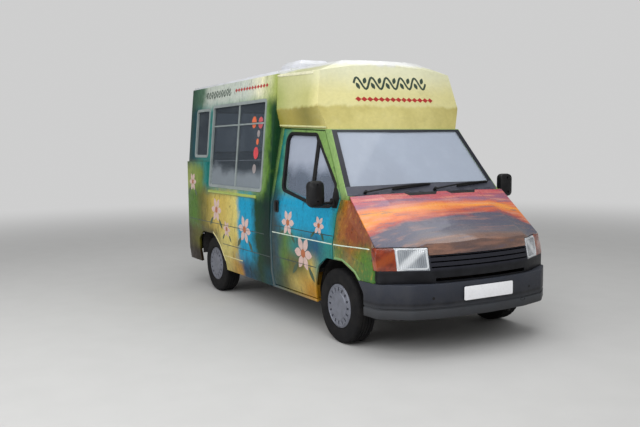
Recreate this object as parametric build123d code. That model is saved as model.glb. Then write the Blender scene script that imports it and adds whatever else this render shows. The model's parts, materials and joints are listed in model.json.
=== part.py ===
from build123d import *
from math import cos, radians, sin
import os

# Ice cream van. Millimetres, +X forward, +Y to the van's left, +Z up, Z = 0 on the road.
# Ahead is measured from the front axle, arches from their own axle.

# Gaps and fits
JOINT_GAP = 0.3
PIN_CLEARANCE = 0.05
GAP = 10
REAR_DOOR_GAP = 8
MOVING_GAP = 5

# Wheels and axles
FRONT_AXLE_X = 1455
WHEELBASE = 2815
REAR_AXLE_X = FRONT_AXLE_X - WHEELBASE
WHEEL_Y = 830
TYRE_R = 325
TYRE_HALF_WIDTH = 95
RIM_R = 192
RIM_HALF_WIDTH = 80
KINGPIN_Y = 720
KINGPIN_R = 14
SPINDLE_R = 18
SPINDLE_REACH = 62

# Wheel profile: radius, distance outboard from the wheel's middle
WHEEL_PROFILE = (
    (0, 90), (60, 92), (118, 94), (126, 88), (166, 88), (174, 93), (190, 84), (191, 76), (184, 70),
    (182, 45), (168, 25), (168, -15), (182, -30), (182, -69), (RIM_R, -74), (RIM_R, -RIM_HALF_WIDTH),
    (183, -RIM_HALF_WIDTH), (174, -66), (174, -34), (160, -18), (160, 28), (80, 44), (48, 20), (48, -10),
    (SPINDLE_R + PIN_CLEARANCE, -10), (SPINDLE_R + PIN_CLEARANCE, 66), (0, 66),
)
TRIM_SLOTS = 16
TRIM_SLOT_R = 146
TRIM_SLOT_LENGTH = 34
TRIM_SLOT_WIDTH = 17
TYRE_PROFILE = (
    (182.2, -69), (192.6, -74), (193, -84), (232, -94), (275, -TYRE_HALF_WIDTH), (308, -90), (TYRE_R, -70),
    (TYRE_R, 70), (308, 90), (275, TYRE_HALF_WIDTH), (232, 94), (193, 84), (192.6, 74), (184.4, 69.8),
    (182.2, 46), (182.2, -28),
)

# Wheel openings in the sides: angle up from straight ahead in degrees, distance beyond the tyre
FRONT_ARCH = (
    (199, 58), (155.4, 47), (132.1, 100), (109, 105), (74.9, 97), (49.2, 104), (23.7, 110), (-17.4, 92),
)
REAR_ARCH = ((195.6, 140), (149.2, 193), (129.4, 148), (85.3, 41), (44.4, 12), (10.2, 43), (-18.9, 61))
ARCH_CORNER_R = 80
ARCH_LIP = 16
ARCH_RELIEF = 34
HOUSE_R = TYRE_R + 115
HOUSE_INNER_Y = 520
HOUSE_OUTER_Y = 840
REAR_BOX_GROW = 12
REAR_BOX_INNER_Y = 690
REAR_BOX_OUTER_Y = 900
BOX_WALL = 20
BOX_FOOT_Z = (325, 400)

# Levels of the body, z
SILL_Z = 300
KNEE_Z = 467
CREASE_Z = 850
BELT_Z = 1240
SPLIT_Z = 1220
LEDGE_Z = 1530
CORNICE_Z = 2200
EAVES_Z = 2440
ROOF_FOOT_Z = EAVES_Z - 20
CROWN_Z = EAVES_Z + 60
FLOOR_Z = 600
FLOOR_THICK = 40
UNDER_FLOOR = FLOOR_Z - FLOOR_THICK - JOINT_GAP
CAB_TOP_Z = 1950

# Stations, ahead of the front axle
REAR_WHEEL = -WHEELBASE
REAR_END = REAR_WHEEL - 825
QUARTER_FRONT = REAR_END + 690
BODY_FRONT = -1252
DOOR_REAR = -1200
DOOR_FRONT = -30
FIREWALL = -20
BONNET_REAR = 100
NOSE_TIP = 811
BUMPER_REAR_END = REAR_END - 140

# Walls
SIDE_WALL = 40
DOOR_THICK = 60
WING_WALL = 35
SKIN = 24
GLASS_THICK = 6
POST_THICK = 50

# Cab side: ahead, sill_y, knee_y, crease_y, belt_y, belt_z, top_y
CAB_SECTIONS = (
    (BODY_FRONT, 930, 955, 966, 950, 1150, 801),
    (-410, 930, 955, 968, 945, 1130, 716),
    (BONNET_REAR, 922, 946, 957, 905, 1120, 619),
)

# Nose: ahead, sill_y, crease_y, crease_z, shoulder_y, shoulder_z, edge_y, edge_z, inner_z, centre_z
NOSE_SECTIONS = (
    (BONNET_REAR, 922, 957, 850, 905, 1120, 854, 1272, 1280, 1282),
    (560, 895, 905, 700, 903, 800, 893, 868, 1005, 1035),
    (830, 860, 870, 520, 865, 560, 850, 620, 865, 905),
)
NOSE_INNER_Y = 530
BONNET_LIP = 10
BONNET_FOOT_Z = 890
COWL_Z = 1242

# Front face of the nose: plan outline at FACE_Z, leaning back as it rises
FACE_Z = 790
FACE_LEAN = 0.22
FACE_CORNER = (757, 530)
FACE_SIDE = (505, 1000)
FACE_FOOT_Z = 560
FACE_DEPTH = 55
VALANCE_SHIFT = 19
VALANCE_TOP = 705
VALANCE_SLOT = (480, 613, 641)
GRILLE_TOP = 819
GRILLE_HALF = 515
GRILLE_SLOTS = (722, 763, 804)
GRILLE_SLOT_HEIGHT = 12
LAMP_TOP = 884
LAMP_INNER = 530
LAMP_SPLIT = 763
LAMP_OUTER = 905

# Load body side: y, z from the sill to the eaves
LOWER_SIDE = ((930, SILL_Z), (955, KNEE_Z), (969, CREASE_Z), (957, BELT_Z))
QUARTER_SIDE = ((930, SILL_Z), (955, KNEE_Z), (969, CREASE_Z), (965, LEDGE_Z))
UPPER_SIDE = ((957, BELT_Z), (868, CORNICE_Z), (843, EAVES_Z))
BODY_CORNER_R = 60
REAR_POST_Y = 808
UPPER_POST_Y = 800

# Roof: half width, raised part (rear end, half width, height) and hatch (front, rear, half width, top)
ROOF_HALF = UPPER_SIDE[-1][0]
ROOF_CAP_REAR = -2300
ROOF_CAP_HALF = 700
ROOF_CAP_RISE = 20
HATCH = (-1980, -2450, 200, CROWN_Z + 170)
HATCH_SHOULDER = 45

# Sign dome rings from the foot up: ahead, y, z of the side's rear, corner, inner and centre points
DOME_REAR = BODY_FRONT
DOME_TOP_Z = CROWN_Z + ROOF_CAP_RISE - 5
DOME_RINGS = (
    ((DOME_REAR, 812, 1840), (-440, 734, 1840), (-400, 400, 1840), (-392, 0, 1840)),
    ((DOME_REAR, 862, 2065), (-505, 818, 2065), (-445, 420, 2065), (-435, 0, 2065)),
    ((DOME_REAR, 842, 2400), (-575, 750, 2400), (-575, 420, 2452), (-575, 0, 2475)),
    ((DOME_REAR, 470, DOME_TOP_Z), (-700, 430, DOME_TOP_Z), (-640, 260, DOME_TOP_Z), (-620, 0, DOME_TOP_Z)),
)
DOME_SKIN = 25

# Line between cab and dome: ahead, z
ROOF_LINE = ((BODY_FRONT, 1895), (-380, 1853))
ROOF_SKIN = 30

# Windscreen: plan arc at its foot, and its rake
SCREEN_FOOT_Z = 1274
SCREEN_CENTRE = 72
SCREEN_SAG = 27
SCREEN_HALF = 843
SCREEN_RAKE = (-457, 0, 586)
SCREEN_FRAME = 45
SCREEN_SIDE = 45
SCREEN_GLASS_Z = (1350, 1835)
SCREEN_GLASS_BACK = 12

# Door outline, its window and the bar in it: ahead, z
DOOR_BOTTOM = 335
DOOR_OUTLINE = (
    (DOOR_FRONT, DOOR_BOTTOM), (DOOR_FRONT, 1255), (-486, 1838),
    (DOOR_REAR, 1876), (DOOR_REAR, DOOR_BOTTOM),
)
DOOR_WINDOW = (
    (-128, 1188), (-145, 1355), (-606, 1802), (-1095, 1822), (-1035, 1296), (-560, 1215), (-420, 1173),
)
DOOR_WINDOW_R = (30, 40, 50, 60, 70, 100, 100)
DOOR_REAR_SLANT = 0.105
DOOR_HOLLOW = ((-130, 560), (-130, 1040), (-1130, 1040), (-1130, 400), (-480, 400))
QUARTER_BAR = ((-492, 1100), (-452, 1100), (-570, 1850), (-610, 1850))
MIRROR_HEAD = ((-130, 1005), (-60, 1000), (-45, 1080), (-60, 1155), (-130, 1160))
MIRROR_Z = (1180, 1410)

# Cab door hinge: axis (ahead, y), pin and pocket spans, arm levels
DOOR_AXIS = (-70, 942)
HINGE_PIN_R = 4
HINGE_EYE_R = 7.5
DOOR_HINGE_Z = (745, 885)
DOOR_HINGE_ARMS = (770, 848)
HINGE_ARM = 18
HINGE_ROOM = 3

# Bonnet hinge: axis (ahead, z), middle of each hinge across the van, pin and eye radii
BONNET_AXIS = (112, 1254)
BONNET_HINGE_Y = 600
BONNET_PIN_R = 3
BONNET_EYE_R = 6
BONNET_SWEEP_R = 29
TRAY_Z = (1200, 1212)

# Rear door hinges: axis (ahead, y), levels, barrel and pin radii
REAR_AXIS = (REAR_END - 9.5, REAR_POST_Y - 4)
REAR_HINGE_Z = (760, 1380)
REAR_BARREL_R = 8
REAR_PIN_R = 4
REAR_LEAF = 4
HALF_BARREL = 34
REAR_DOOR_THICK = 42

# Windows of the load body: rear end, front end, bottom z, top z
SERVING_WINDOW = (QUARTER_FRONT + 50, BODY_FRONT - 188, BELT_Z, 2190)
REAR_SIDE_WINDOW = (REAR_END + 210, QUARTER_FRONT - 35, 1580, 2165)
REAR_WINDOW = (620, 1620, 2160)
REAR_GLASS_INSET = 25
FRAME_WIDTH = 32
FRAME_PROUD = 5
MULLION = -2150
TRANSOM_Z = 1945

# Bumpers and rear lamps
BUMPER_PLAN = ((200, 935), (590, 915), (775, 700), (846, 420), (871.5, 0))
BUMPER_Z = (322, 599)
BUMPER_WALL = 55
BUMPER_GROOVE = (395, 409, 9)
REAR_BUMPER_Z = (400, 560)
REAR_LAMP = (825, 905, 900, 1150)

# Chassis: rail widths and levels, cross members, towing eyes (ahead, z), jacking pads
RAIL_Y = (390, 460)
RAIL_Z = (440, 560)
RAIL_MIDDLE = (RAIL_Y[0] + RAIL_Y[1]) / 2
CROSS_MEMBERS = (REAR_END + 140, -2300, -1250, 660)
EYE_THICK = 20
EYE_Y = RAIL_Y[0] + EYE_THICK / 2
EYE_R = 15
EYE_EDGE = 30
FRONT_EYE = (665, 285)
REAR_EYE = (BUMPER_REAR_END + 65, 360)
JACKING_PADS = (-700, -1650)
PAD_DROP = 15

# Running gear: arm levels, beam, springs, exhaust line and tank
LOWER_ARM_Z = (205, 232)
UPPER_ARM_Z = (408, 432)
KNUCKLE_R = 30
AXLE_TUBE_R = 42
DIFFERENTIAL_R = 110
SPRING_REACH = 700
SPRING_WIDTH = 30
SPRING_LEAF = 20
GEARBOX_REAR = -620
EXHAUST_Z = 400
EXHAUST_R = 22
SILENCER_R = 80
SILENCER_Y = -600

# Cab furniture
DASH_FRONT = FIREWALL - JOINT_GAP
DASH_OUTLINE = ((DASH_FRONT, 880), (DASH_FRONT, 1195), (-180, 1190), (-320, 1110), (-290, 900))
STEERING_CENTRE = (-470, -400, 1120)
STEERING_R = 195
STEERING_TILT = 35
SEAT_WIDTHS = ((-630, -170), (130, 630))
SEAT_TOP = 800
UNIT_Y = (480, 900)
UNIT_TOP = 1160
UNIT_ROOM = 30


def ahead(distance):
    """X of a station measured forward from the front axle."""
    return FRONT_AXLE_X + distance


def prism(points, travel, radius=None):
    """Solid swept along travel from a closed outline, its corners rounded where radius is given."""
    if radius is None:
        outline = Polyline(*points, close=True)
    else:
        outline = FilletPolyline(*points, radius=radius, close=True)
    return Solid.extrude(make_face(outline).face(), Vector(*travel))


def side_prism(points, y0, y1, radius=None):
    """Solid across the van from an outline of (ahead, z)."""
    return prism([(ahead(a), y0, z) for a, z in points], (0, y1 - y0, 0), radius)


def plan_prism(points, z0, z1, radius=None):
    """Upright solid from an outline of (ahead, y)."""
    return prism([(ahead(a), y, z0) for a, y in points], (0, 0, z1 - z0), radius)


def along_prism(points, a0, a1, radius=None):
    """Solid along the van from an outline of (y, z)."""
    return prism([(ahead(a0), y, z) for y, z in points], (a1 - a0, 0, 0), radius)


def block(a0, a1, y0, y1, z0, z1):
    """Box between two stations, two widths and two levels."""
    return side_prism(((a0, z0), (a1, z0), (a1, z1), (a0, z1)), y0, y1)


def rod(start, end, radius):
    """Round bar between two points."""
    way = Vector(*end) - Vector(*start)
    return Solid.make_cylinder(radius, way.length, Plane(origin=start, z_dir=way))


def cross_rod(a, z, y0, y1, radius):
    """Round bar across the van."""
    return rod((ahead(a), y0, z), (ahead(a), y1, z), radius)


def loft(outlines):
    """Ruled solid through closed outlines of 3-D points."""
    wires = [Wire(Polyline(*outline, close=True).edges()) for outline in outlines]
    return Solid.make_loft(wires, ruled=True)


def pieces(*shapes):
    """All the solids of the shapes given."""
    return [solid for shape in shapes for solid in shape.solids()]


def joined(first, *others):
    """One shape fused from those given."""
    result = Part() + first
    for other in others:
        result = result + other
    return result


def flipped(shape):
    """The same shape on the van's other side."""
    return mirror(shape, about=Plane.XZ)


def on_both_sides(shape):
    """The shape and its mirror image, as separate solids."""
    return pieces(shape, flipped(shape))


def save(name, *shapes):
    """Write one node."""
    export_step(Compound(pieces(*shapes)), f"parts/{name}.step")


def band(line, outer, inner, a0, a1):
    """Left wall along the van between two offsets inward from a (y, z) line."""
    out = [(y - outer, z) for y, z in line]
    back = [(y - inner, z) for y, z in reversed(line)]
    return along_prism(out + back, a0, a1)


def cab_line(section, offset):
    """Left side line of one cab section, moved inward by an offset."""
    a, sill_y, knee_y, crease_y, belt_y, belt_z, top_y = section
    line = ((sill_y, SILL_Z), (knee_y, KNEE_Z), (crease_y, CREASE_Z), (belt_y, belt_z), (top_y, CAB_TOP_Z))
    return [(ahead(a), y - offset, z) for y, z in line]


def cab_wall(outer, inner):
    """Left cab side between two offsets inward."""
    return loft([cab_line(s, outer) + cab_line(s, inner)[::-1] for s in CAB_SECTIONS])


def cab_block(offset):
    """Whole cab between its sides, moved inward by an offset."""
    return loft([cab_line(s, offset) + [(x, -y, z) for x, y, z in cab_line(s, offset)[::-1]]
                 for s in CAB_SECTIONS])


def nose_line(section, drop):
    """Left side line of one nose section up to its bonnet edge, lowered by a drop."""
    a, sill_y, crease_y, crease_z, shoulder_y, shoulder_z, edge_y, edge_z, inner_z, centre_z = section
    line = ((sill_y, SILL_Z), (crease_y, crease_z), (shoulder_y, shoulder_z), (edge_y, edge_z - drop))
    return [(ahead(a), y, z) for y, z in line]


def wing_line(section, drop):
    """Left side line of one nose section that stops at a drop below its bonnet edge."""
    a, sill_y, crease_y, crease_z, shoulder_y, shoulder_z, edge_y, edge_z, inner_z, centre_z = section
    top_y = edge_y + (shoulder_y - edge_y) * drop / (edge_z - shoulder_z)
    line = ((sill_y, SILL_Z), (crease_y, crease_z), (shoulder_y, shoulder_z), (top_y, edge_z - drop))
    return [(ahead(a), y, z) for y, z in line]


def nose_block(drop):
    """Whole nose under its bonnet surface, lowered by a drop."""
    outlines = []
    for s in NOSE_SECTIONS:
        left = nose_line(s, drop) + [(ahead(s[0]), NOSE_INNER_Y, s[8] - drop)]
        right = [(x, -y, z) for x, y, z in left[::-1]]
        outlines.append(left + [(ahead(s[0]), 0, s[9] - drop)] + right)
    return loft(outlines)


def wing_wall(outer, inner, drop):
    """Left wing side between two offsets inward, up to a drop below the bonnet edge."""
    outlines = []
    for s in NOSE_SECTIONS:
        line = wing_line(s, drop)
        out = [(x, y - outer, z) for x, y, z in line]
        outlines.append(out + [(x, y - inner, z) for x, y, z in line[::-1]])
    return loft(outlines)


def behind_face(back, z0=FACE_FOOT_Z, z1=1400, lean=FACE_LEAN, shift=0):
    """All that lies behind the nose's front face, moved back."""
    foot = lean * (FACE_Z - z0) - back + shift
    corner_a, corner_y = FACE_CORNER
    side_a, side_y = FACE_SIDE
    tip = (ahead(NOSE_TIP + foot), 0, z0)
    left = (ahead(corner_a + foot), corner_y, z0)
    right = (ahead(corner_a + foot), -corner_y, z0)
    left_side = (ahead(side_a + foot), side_y, z0)
    right_side = (ahead(side_a + foot), -side_y, z0)
    rear_left = (ahead(-900), side_y, z0)
    rear_right = (ahead(-900), -side_y, z0)
    edges = [ThreePointArc(right, tip, left), Line(left, left_side), Line(left_side, rear_left),
             Line(rear_left, rear_right), Line(rear_right, right_side), Line(right_side, right)]
    face = Face(Wire([edge.edge() for edge in edges]))
    return Solid.extrude(face, Vector(-lean * (z1 - z0), 0, z1 - z0))


def before_screen(back):
    """All that lies in front of the windscreen's outer face, moved back."""
    end_y = 1000
    sag = SCREEN_SAG * (end_y / SCREEN_HALF) ** 2
    centre = (ahead(SCREEN_CENTRE - back), 0, SCREEN_FOOT_Z)
    left = (ahead(SCREEN_CENTRE - back - sag), end_y, SCREEN_FOOT_Z)
    right = (ahead(SCREEN_CENTRE - back - sag), -end_y, SCREEN_FOOT_Z)
    far_left = (ahead(900), end_y, SCREEN_FOOT_Z)
    far_right = (ahead(900), -end_y, SCREEN_FOOT_Z)
    edges = [ThreePointArc(right, centre, left), Line(left, far_left),
             Line(far_left, far_right), Line(far_right, right)]
    face = Face(Wire([edge.edge() for edge in edges]))
    rise = (CAB_TOP_Z + 60 - SCREEN_FOOT_Z) / SCREEN_RAKE[2]
    return Solid.extrude(face, Vector(*SCREEN_RAKE) * rise)


def under_roof_line(drop):
    """All that lies under the line between cab and dome, lowered by a drop."""
    (rear_a, rear_z), (front_a, front_z) = ROOF_LINE
    slope = (front_z - rear_z) / (front_a - rear_a)
    start, end = rear_a - 100, front_a + 700
    return side_prism(((start, 0), (end, 0), (end, rear_z + slope * (end - rear_a) - drop),
                       (start, rear_z + slope * (start - rear_a) - drop)), -1100, 1100)


def round_house(radius, y0, y1):
    """Round space about the front axle."""
    return cross_rod(0, TYRE_R, y0, y1, radius)


def arch(outline, axle, grow, y0, y1):
    """Wheel opening through a side, its corners pushed away from the axle."""
    points = []
    for angle, beyond in outline:
        reach = TYRE_R + beyond + grow
        points.append((axle + reach * cos(radians(angle)), TYRE_R + reach * sin(radians(angle))))
    return side_prism(points, y0, y1, ARCH_CORNER_R)


def front_arch(y0=500, y1=1100):
    """Front wheel opening."""
    return arch(FRONT_ARCH, 0, 0, y0, y1)


def arch_relief():
    """Thinning of the cab side round the front wheel opening, behind its lip."""
    return cab_wall(ARCH_LIP, DOOR_THICK + 1) & arch(FRONT_ARCH, 0, ARCH_RELIEF, 500, 1100)


def door_opening(gap, y0, y1):
    """Door outline grown by a gap, its rear edge slanting forward inboard."""
    grown = offset(make_face(Polyline(*[(ahead(a), y0, z) for a, z in DOOR_OUTLINE], close=True)),
                   amount=gap, kind=Kind.INTERSECTION)
    solid = Solid.extrude(grown.face(), Vector(0, y1 - y0, 0))
    edge = DOOR_REAR - gap
    slant = plan_prism(((edge - 300, 1100), (edge - DOOR_REAR_SLANT * (1100 - 970), 1100),
                        (edge + DOOR_REAR_SLANT * (970 - 500), 500), (edge - 300, 500)), 0, 2000)
    return solid - slant


def body_side():
    """Left lower and upper panels."""
    lower = band(LOWER_SIDE, 0, SIDE_WALL, QUARTER_FRONT, BODY_FRONT)
    lower = lower - block(QUARTER_FRONT, 0, 0, 1100, SPLIT_Z, BELT_Z + 60)
    quarter = band(QUARTER_SIDE, 0, SIDE_WALL, REAR_END, QUARTER_FRONT)
    post_line = [(REAR_POST_Y, SILL_Z), *QUARTER_SIDE, (REAR_POST_Y, LEDGE_Z)]
    post = along_prism(post_line, REAR_END, REAR_END + POST_THICK)
    lower = joined(lower, quarter, post) - arch(REAR_ARCH, REAR_WHEEL, 0, 600, 1100)
    behind_lip = band(LOWER_SIDE, ARCH_LIP, SIDE_WALL + 1, REAR_END + POST_THICK, BODY_FRONT)
    lower = lower - (behind_lip & arch(REAR_ARCH, REAR_WHEEL, ARCH_RELIEF, 600, 1100))
    upper = band(UPPER_SIDE, 0, SIDE_WALL, REAR_END, BODY_FRONT)
    upper = upper - block(REAR_END, QUARTER_FRONT, 0, 1100, BELT_Z - 40, LEDGE_Z)
    strip = band(((960, SPLIT_Z), (957, BELT_Z)), 0, SIDE_WALL, QUARTER_FRONT, BODY_FRONT)
    corner_line = [(UPPER_POST_Y, LEDGE_Z), (930, LEDGE_Z), *UPPER_SIDE[1:], (UPPER_POST_Y, EAVES_Z)]
    upper_post = along_prism(corner_line, REAR_END, REAR_END + POST_THICK)
    flange = along_prism([(740, SPLIT_Z), (917, SPLIT_Z), (917, BELT_Z), (828, CORNICE_Z),
                          (828, 2065), (740, 2065)], BODY_FRONT - 30, BODY_FRONT)
    upper = joined(upper, strip, upper_post)
    corner = plan_prism(((REAR_END, 700), (REAR_END, 969), (REAR_END + 400, 969), (REAR_END + 400, 700)),
                        0, EAVES_Z + 100, [1, BODY_CORNER_R, 1, 1])
    keep = joined(corner, block(REAR_END + 399, 0, -100, 1100, 0, EAVES_Z + 100))
    return lower & keep, joined(upper & keep, flange)


def window_cut(window, grow, radius):
    """Rounded window opening through the left side."""
    rear, front, bottom, top = window
    return side_prism(((rear - grow, bottom - grow), (front + grow, bottom - grow),
                       (front + grow, top + grow), (rear - grow, top + grow)), 700, 1100, radius)


def side_window(window, bars):
    """Frame and pane of a left side window, with its bars cut out of the pane."""
    rear, front, bottom, top = window
    wall = band(UPPER_SIDE, -FRAME_PROUD, SIDE_WALL, rear - 10, front + 10)
    ring = (wall & window_cut(window, 0, 45)) - window_cut(window, -FRAME_WIDTH, 20)
    pane = band(UPPER_SIDE, 17, 17 + GLASS_THICK, rear, front)
    pane = pane & window_cut(window, -FRAME_WIDTH - JOINT_GAP, 20)
    if bars:
        bars = joined(*bars) & band(UPPER_SIDE, 8, SIDE_WALL - 8, rear, front)
        bars = bars & window_cut(window, -FRAME_WIDTH + 2, 20)
        ring = joined(ring, bars)
        pane = pane - bars
    return ring, pane


def build_body():
    """Fixed panels behind the cab, with frames and glass."""
    lower, upper = body_side()
    openings = joined(window_cut(SERVING_WINDOW, 0, 45), window_cut(REAR_SIDE_WINDOW, 0, 45))
    upper = (upper - openings) - block(REAR_END - 10, BODY_FRONT + 10, 0, 1100, ROOF_FOOT_Z, EAVES_Z + 160)
    lower = joined(lower, *[rear_hinge(z, False) for z in REAR_HINGE_Z])
    save("lower_side_panels", *on_both_sides(lower))
    save("upper_side_panels", *on_both_sides(upper))

    rear, front, bottom, top = SERVING_WINDOW
    bars = (block(MULLION - 15, MULLION + 15, 700, 1100, bottom + 20, top - 20),
            block(rear + 20, front - 20, 700, 1100, TRANSOM_Z - 8, TRANSOM_Z + 8))
    windows = (side_window(SERVING_WINDOW, bars), side_window(REAR_SIDE_WINDOW, ()))
    save("window_frames", *[piece for ring, pane in windows for piece in on_both_sides(ring)])

    half, bottom, top = REAR_WINDOW
    inset = REAR_GLASS_INSET
    outer = [(-UPPER_POST_Y, LEDGE_Z), (UPPER_POST_Y, LEDGE_Z),
             (UPPER_POST_Y, ROOF_FOOT_Z), (-UPPER_POST_Y, ROOF_FOOT_Z)]
    hole = [(-half, bottom), (half, bottom), (half, top), (-half, top)]
    light = [(-half + inset, bottom + inset), (half - inset, bottom + inset),
             (half - inset, top - inset), (-half + inset, top - inset)]
    panel = along_prism(outer, REAR_END, REAR_END + POST_THICK)
    panel = panel - along_prism(hole, REAR_END - 20, REAR_END + 80, 60)
    seal = along_prism(hole, REAR_END - 4, REAR_END + 40, 60)
    seal = seal - along_prism(light, REAR_END - 20, REAR_END + 80, 45)
    rear_glass = along_prism(light, REAR_END + 14, REAR_END + 14 + GLASS_THICK, 45)
    save("rear_upper_panel", panel)
    save("rear_window_seal", seal)
    save("body_glass", *[piece for ring, pane in windows for piece in on_both_sides(pane)], rear_glass)


def crown_prism(half, eaves, crown, a0, a1):
    """Shallow arched roof solid above the level where the side panels end."""
    left = (ahead(a0), half, eaves)
    right = (ahead(a0), -half, eaves)
    top = (ahead(a0), 0, crown)
    low_left = (ahead(a0), half + 2, ROOF_FOOT_Z)
    low_right = (ahead(a0), -half - 2, ROOF_FOOT_Z)
    edges = [ThreePointArc(right, top, left), Line(left, low_left),
             Line(low_left, low_right), Line(low_right, right)]
    return Solid.extrude(Face(Wire([edge.edge() for edge in edges])), Vector(a1 - a0, 0, 0))


def build_roof():
    """Arched roof over the load body with its raised front part, and its hatch."""
    outer = crown_prism(ROOF_HALF, EAVES_Z, CROWN_Z, REAR_END, BODY_FRONT)
    inner = crown_prism(ROOF_HALF - 38, EAVES_Z - 26, CROWN_Z - 30, REAR_END + POST_THICK, BODY_FRONT + 10)
    cap_edge = CROWN_Z - (CROWN_Z - EAVES_Z) * (ROOF_CAP_HALF / ROOF_HALF) ** 2 + ROOF_CAP_RISE
    cap = crown_prism(ROOF_CAP_HALF, cap_edge, CROWN_Z + ROOF_CAP_RISE, ROOF_CAP_REAR, BODY_FRONT)
    plan = ((REAR_END, -845), (REAR_END, 845), (BODY_FRONT, 845), (BODY_FRONT, -845))
    corner = plan_prism(plan, ROOF_FOOT_Z - 20, CROWN_Z + 100, [BODY_CORNER_R, BODY_CORNER_R, 1, 1])
    save("roof", (joined(outer, cap) - inner) & corner)
    front, rear, half, top = HATCH
    rings = []
    for z, inset in ((CROWN_Z - 30, 0), (top - HATCH_SHOULDER, 0), (top, HATCH_SHOULDER)):
        rings.append([(ahead(rear + inset), -half + inset, z), (ahead(rear + inset), half - inset, z),
                      (ahead(front - inset), half - inset, z), (ahead(front - inset), -half + inset, z)])
    save("roof_hatch", loft(rings) - outer - cap)


def build_dome():
    """Hollow sign dome over the cab."""
    outer = []
    inner = []
    for index, ring in enumerate(DOME_RINGS):
        drop = DOME_SKIN if index > 1 else 0
        left = [(ahead(a), y, z) for a, y, z in ring]
        shrunk = [(ahead(a - (0 if place == 0 else DOME_SKIN)), max(y - DOME_SKIN, 0), z - drop)
                  for place, (a, y, z) in enumerate(ring)]
        outer.append(left + [(x, -y, z) for x, y, z in left[-2::-1]])
        inner.append(shrunk + [(x, -y, z) for x, y, z in shrunk[-2::-1]])
    open_rear = block(DOME_REAR - 50, DOME_REAR + 1, -820, 820, 1800, 2400)
    dome = (loft(outer) - loft(inner) - open_rear) - under_roof_line(0)
    save("sign_dome", dome)


def door_hinge_arms():
    """Fixed goose-neck arms from the left pillar to the door's pin."""
    pin_a, pin_y = DOOR_AXIS
    arms = Part()
    for z in DOOR_HINGE_ARMS:
        eye = rod((ahead(pin_a), pin_y, z), (ahead(pin_a), pin_y, z + HINGE_ARM), HINGE_EYE_R)
        neck = plan_prism(((pin_a - 7, pin_y), (pin_a + 7, pin_y), (pin_a + 7, 886), (FIREWALL, 886),
                           (FIREWALL, 862), (pin_a - 7, 862)), z, z + HINGE_ARM)
        arms = joined(arms, eye, neck)
    bore = rod((ahead(pin_a), pin_y, 0), (ahead(pin_a), pin_y, 2000), HINGE_PIN_R + PIN_CLEARANCE)
    return arms - bore


def door_hinge_pocket():
    """Room for the arms in the left door's front edge."""
    pin_a, pin_y = DOOR_AXIS
    outer_y = pin_y + HINGE_EYE_R + HINGE_ROOM
    return block(pin_a - 12, DOOR_FRONT + 5, 800, outer_y, *DOOR_HINGE_Z)


def door_hinge_pin():
    """Pin across the left door's hinge pocket."""
    pin_a, pin_y = DOOR_AXIS
    low, high = DOOR_HINGE_Z
    return rod((ahead(pin_a), pin_y, low - 8), (ahead(pin_a), pin_y, high + 8), HINGE_PIN_R)


def bonnet_bracket():
    """Fixed eye under the bonnet's left rear corner, standing on the scuttle tray."""
    a, z = BONNET_AXIS
    y0, y1 = BONNET_HINGE_Y - 10, BONNET_HINGE_Y + 10
    leg = block(a - BONNET_EYE_R, a + BONNET_EYE_R, y0, y1, TRAY_Z[1] - 2, z)
    bore = cross_rod(a, z, y0 - 5, y1 + 5, BONNET_PIN_R + PIN_CLEARANCE)
    return joined(cross_rod(a, z, y0, y1, BONNET_EYE_R), leg) - bore


def bonnet_pocket():
    """Room for the bracket in the bonnet's underside."""
    a, z = BONNET_AXIS
    y0, y1 = BONNET_HINGE_Y - 18, BONNET_HINGE_Y + 18
    room = cross_rod(a, z, y0, y1, BONNET_EYE_R + 2.5)
    return joined(room, block(BONNET_REAR - 5, a + 12, y0, y1, z - 40, z + 2))


def bonnet_pin():
    """Pin across the pocket."""
    a, z = BONNET_AXIS
    return cross_rod(a, z, BONNET_HINGE_Y - 24, BONNET_HINGE_Y + 24, BONNET_PIN_R)


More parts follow.
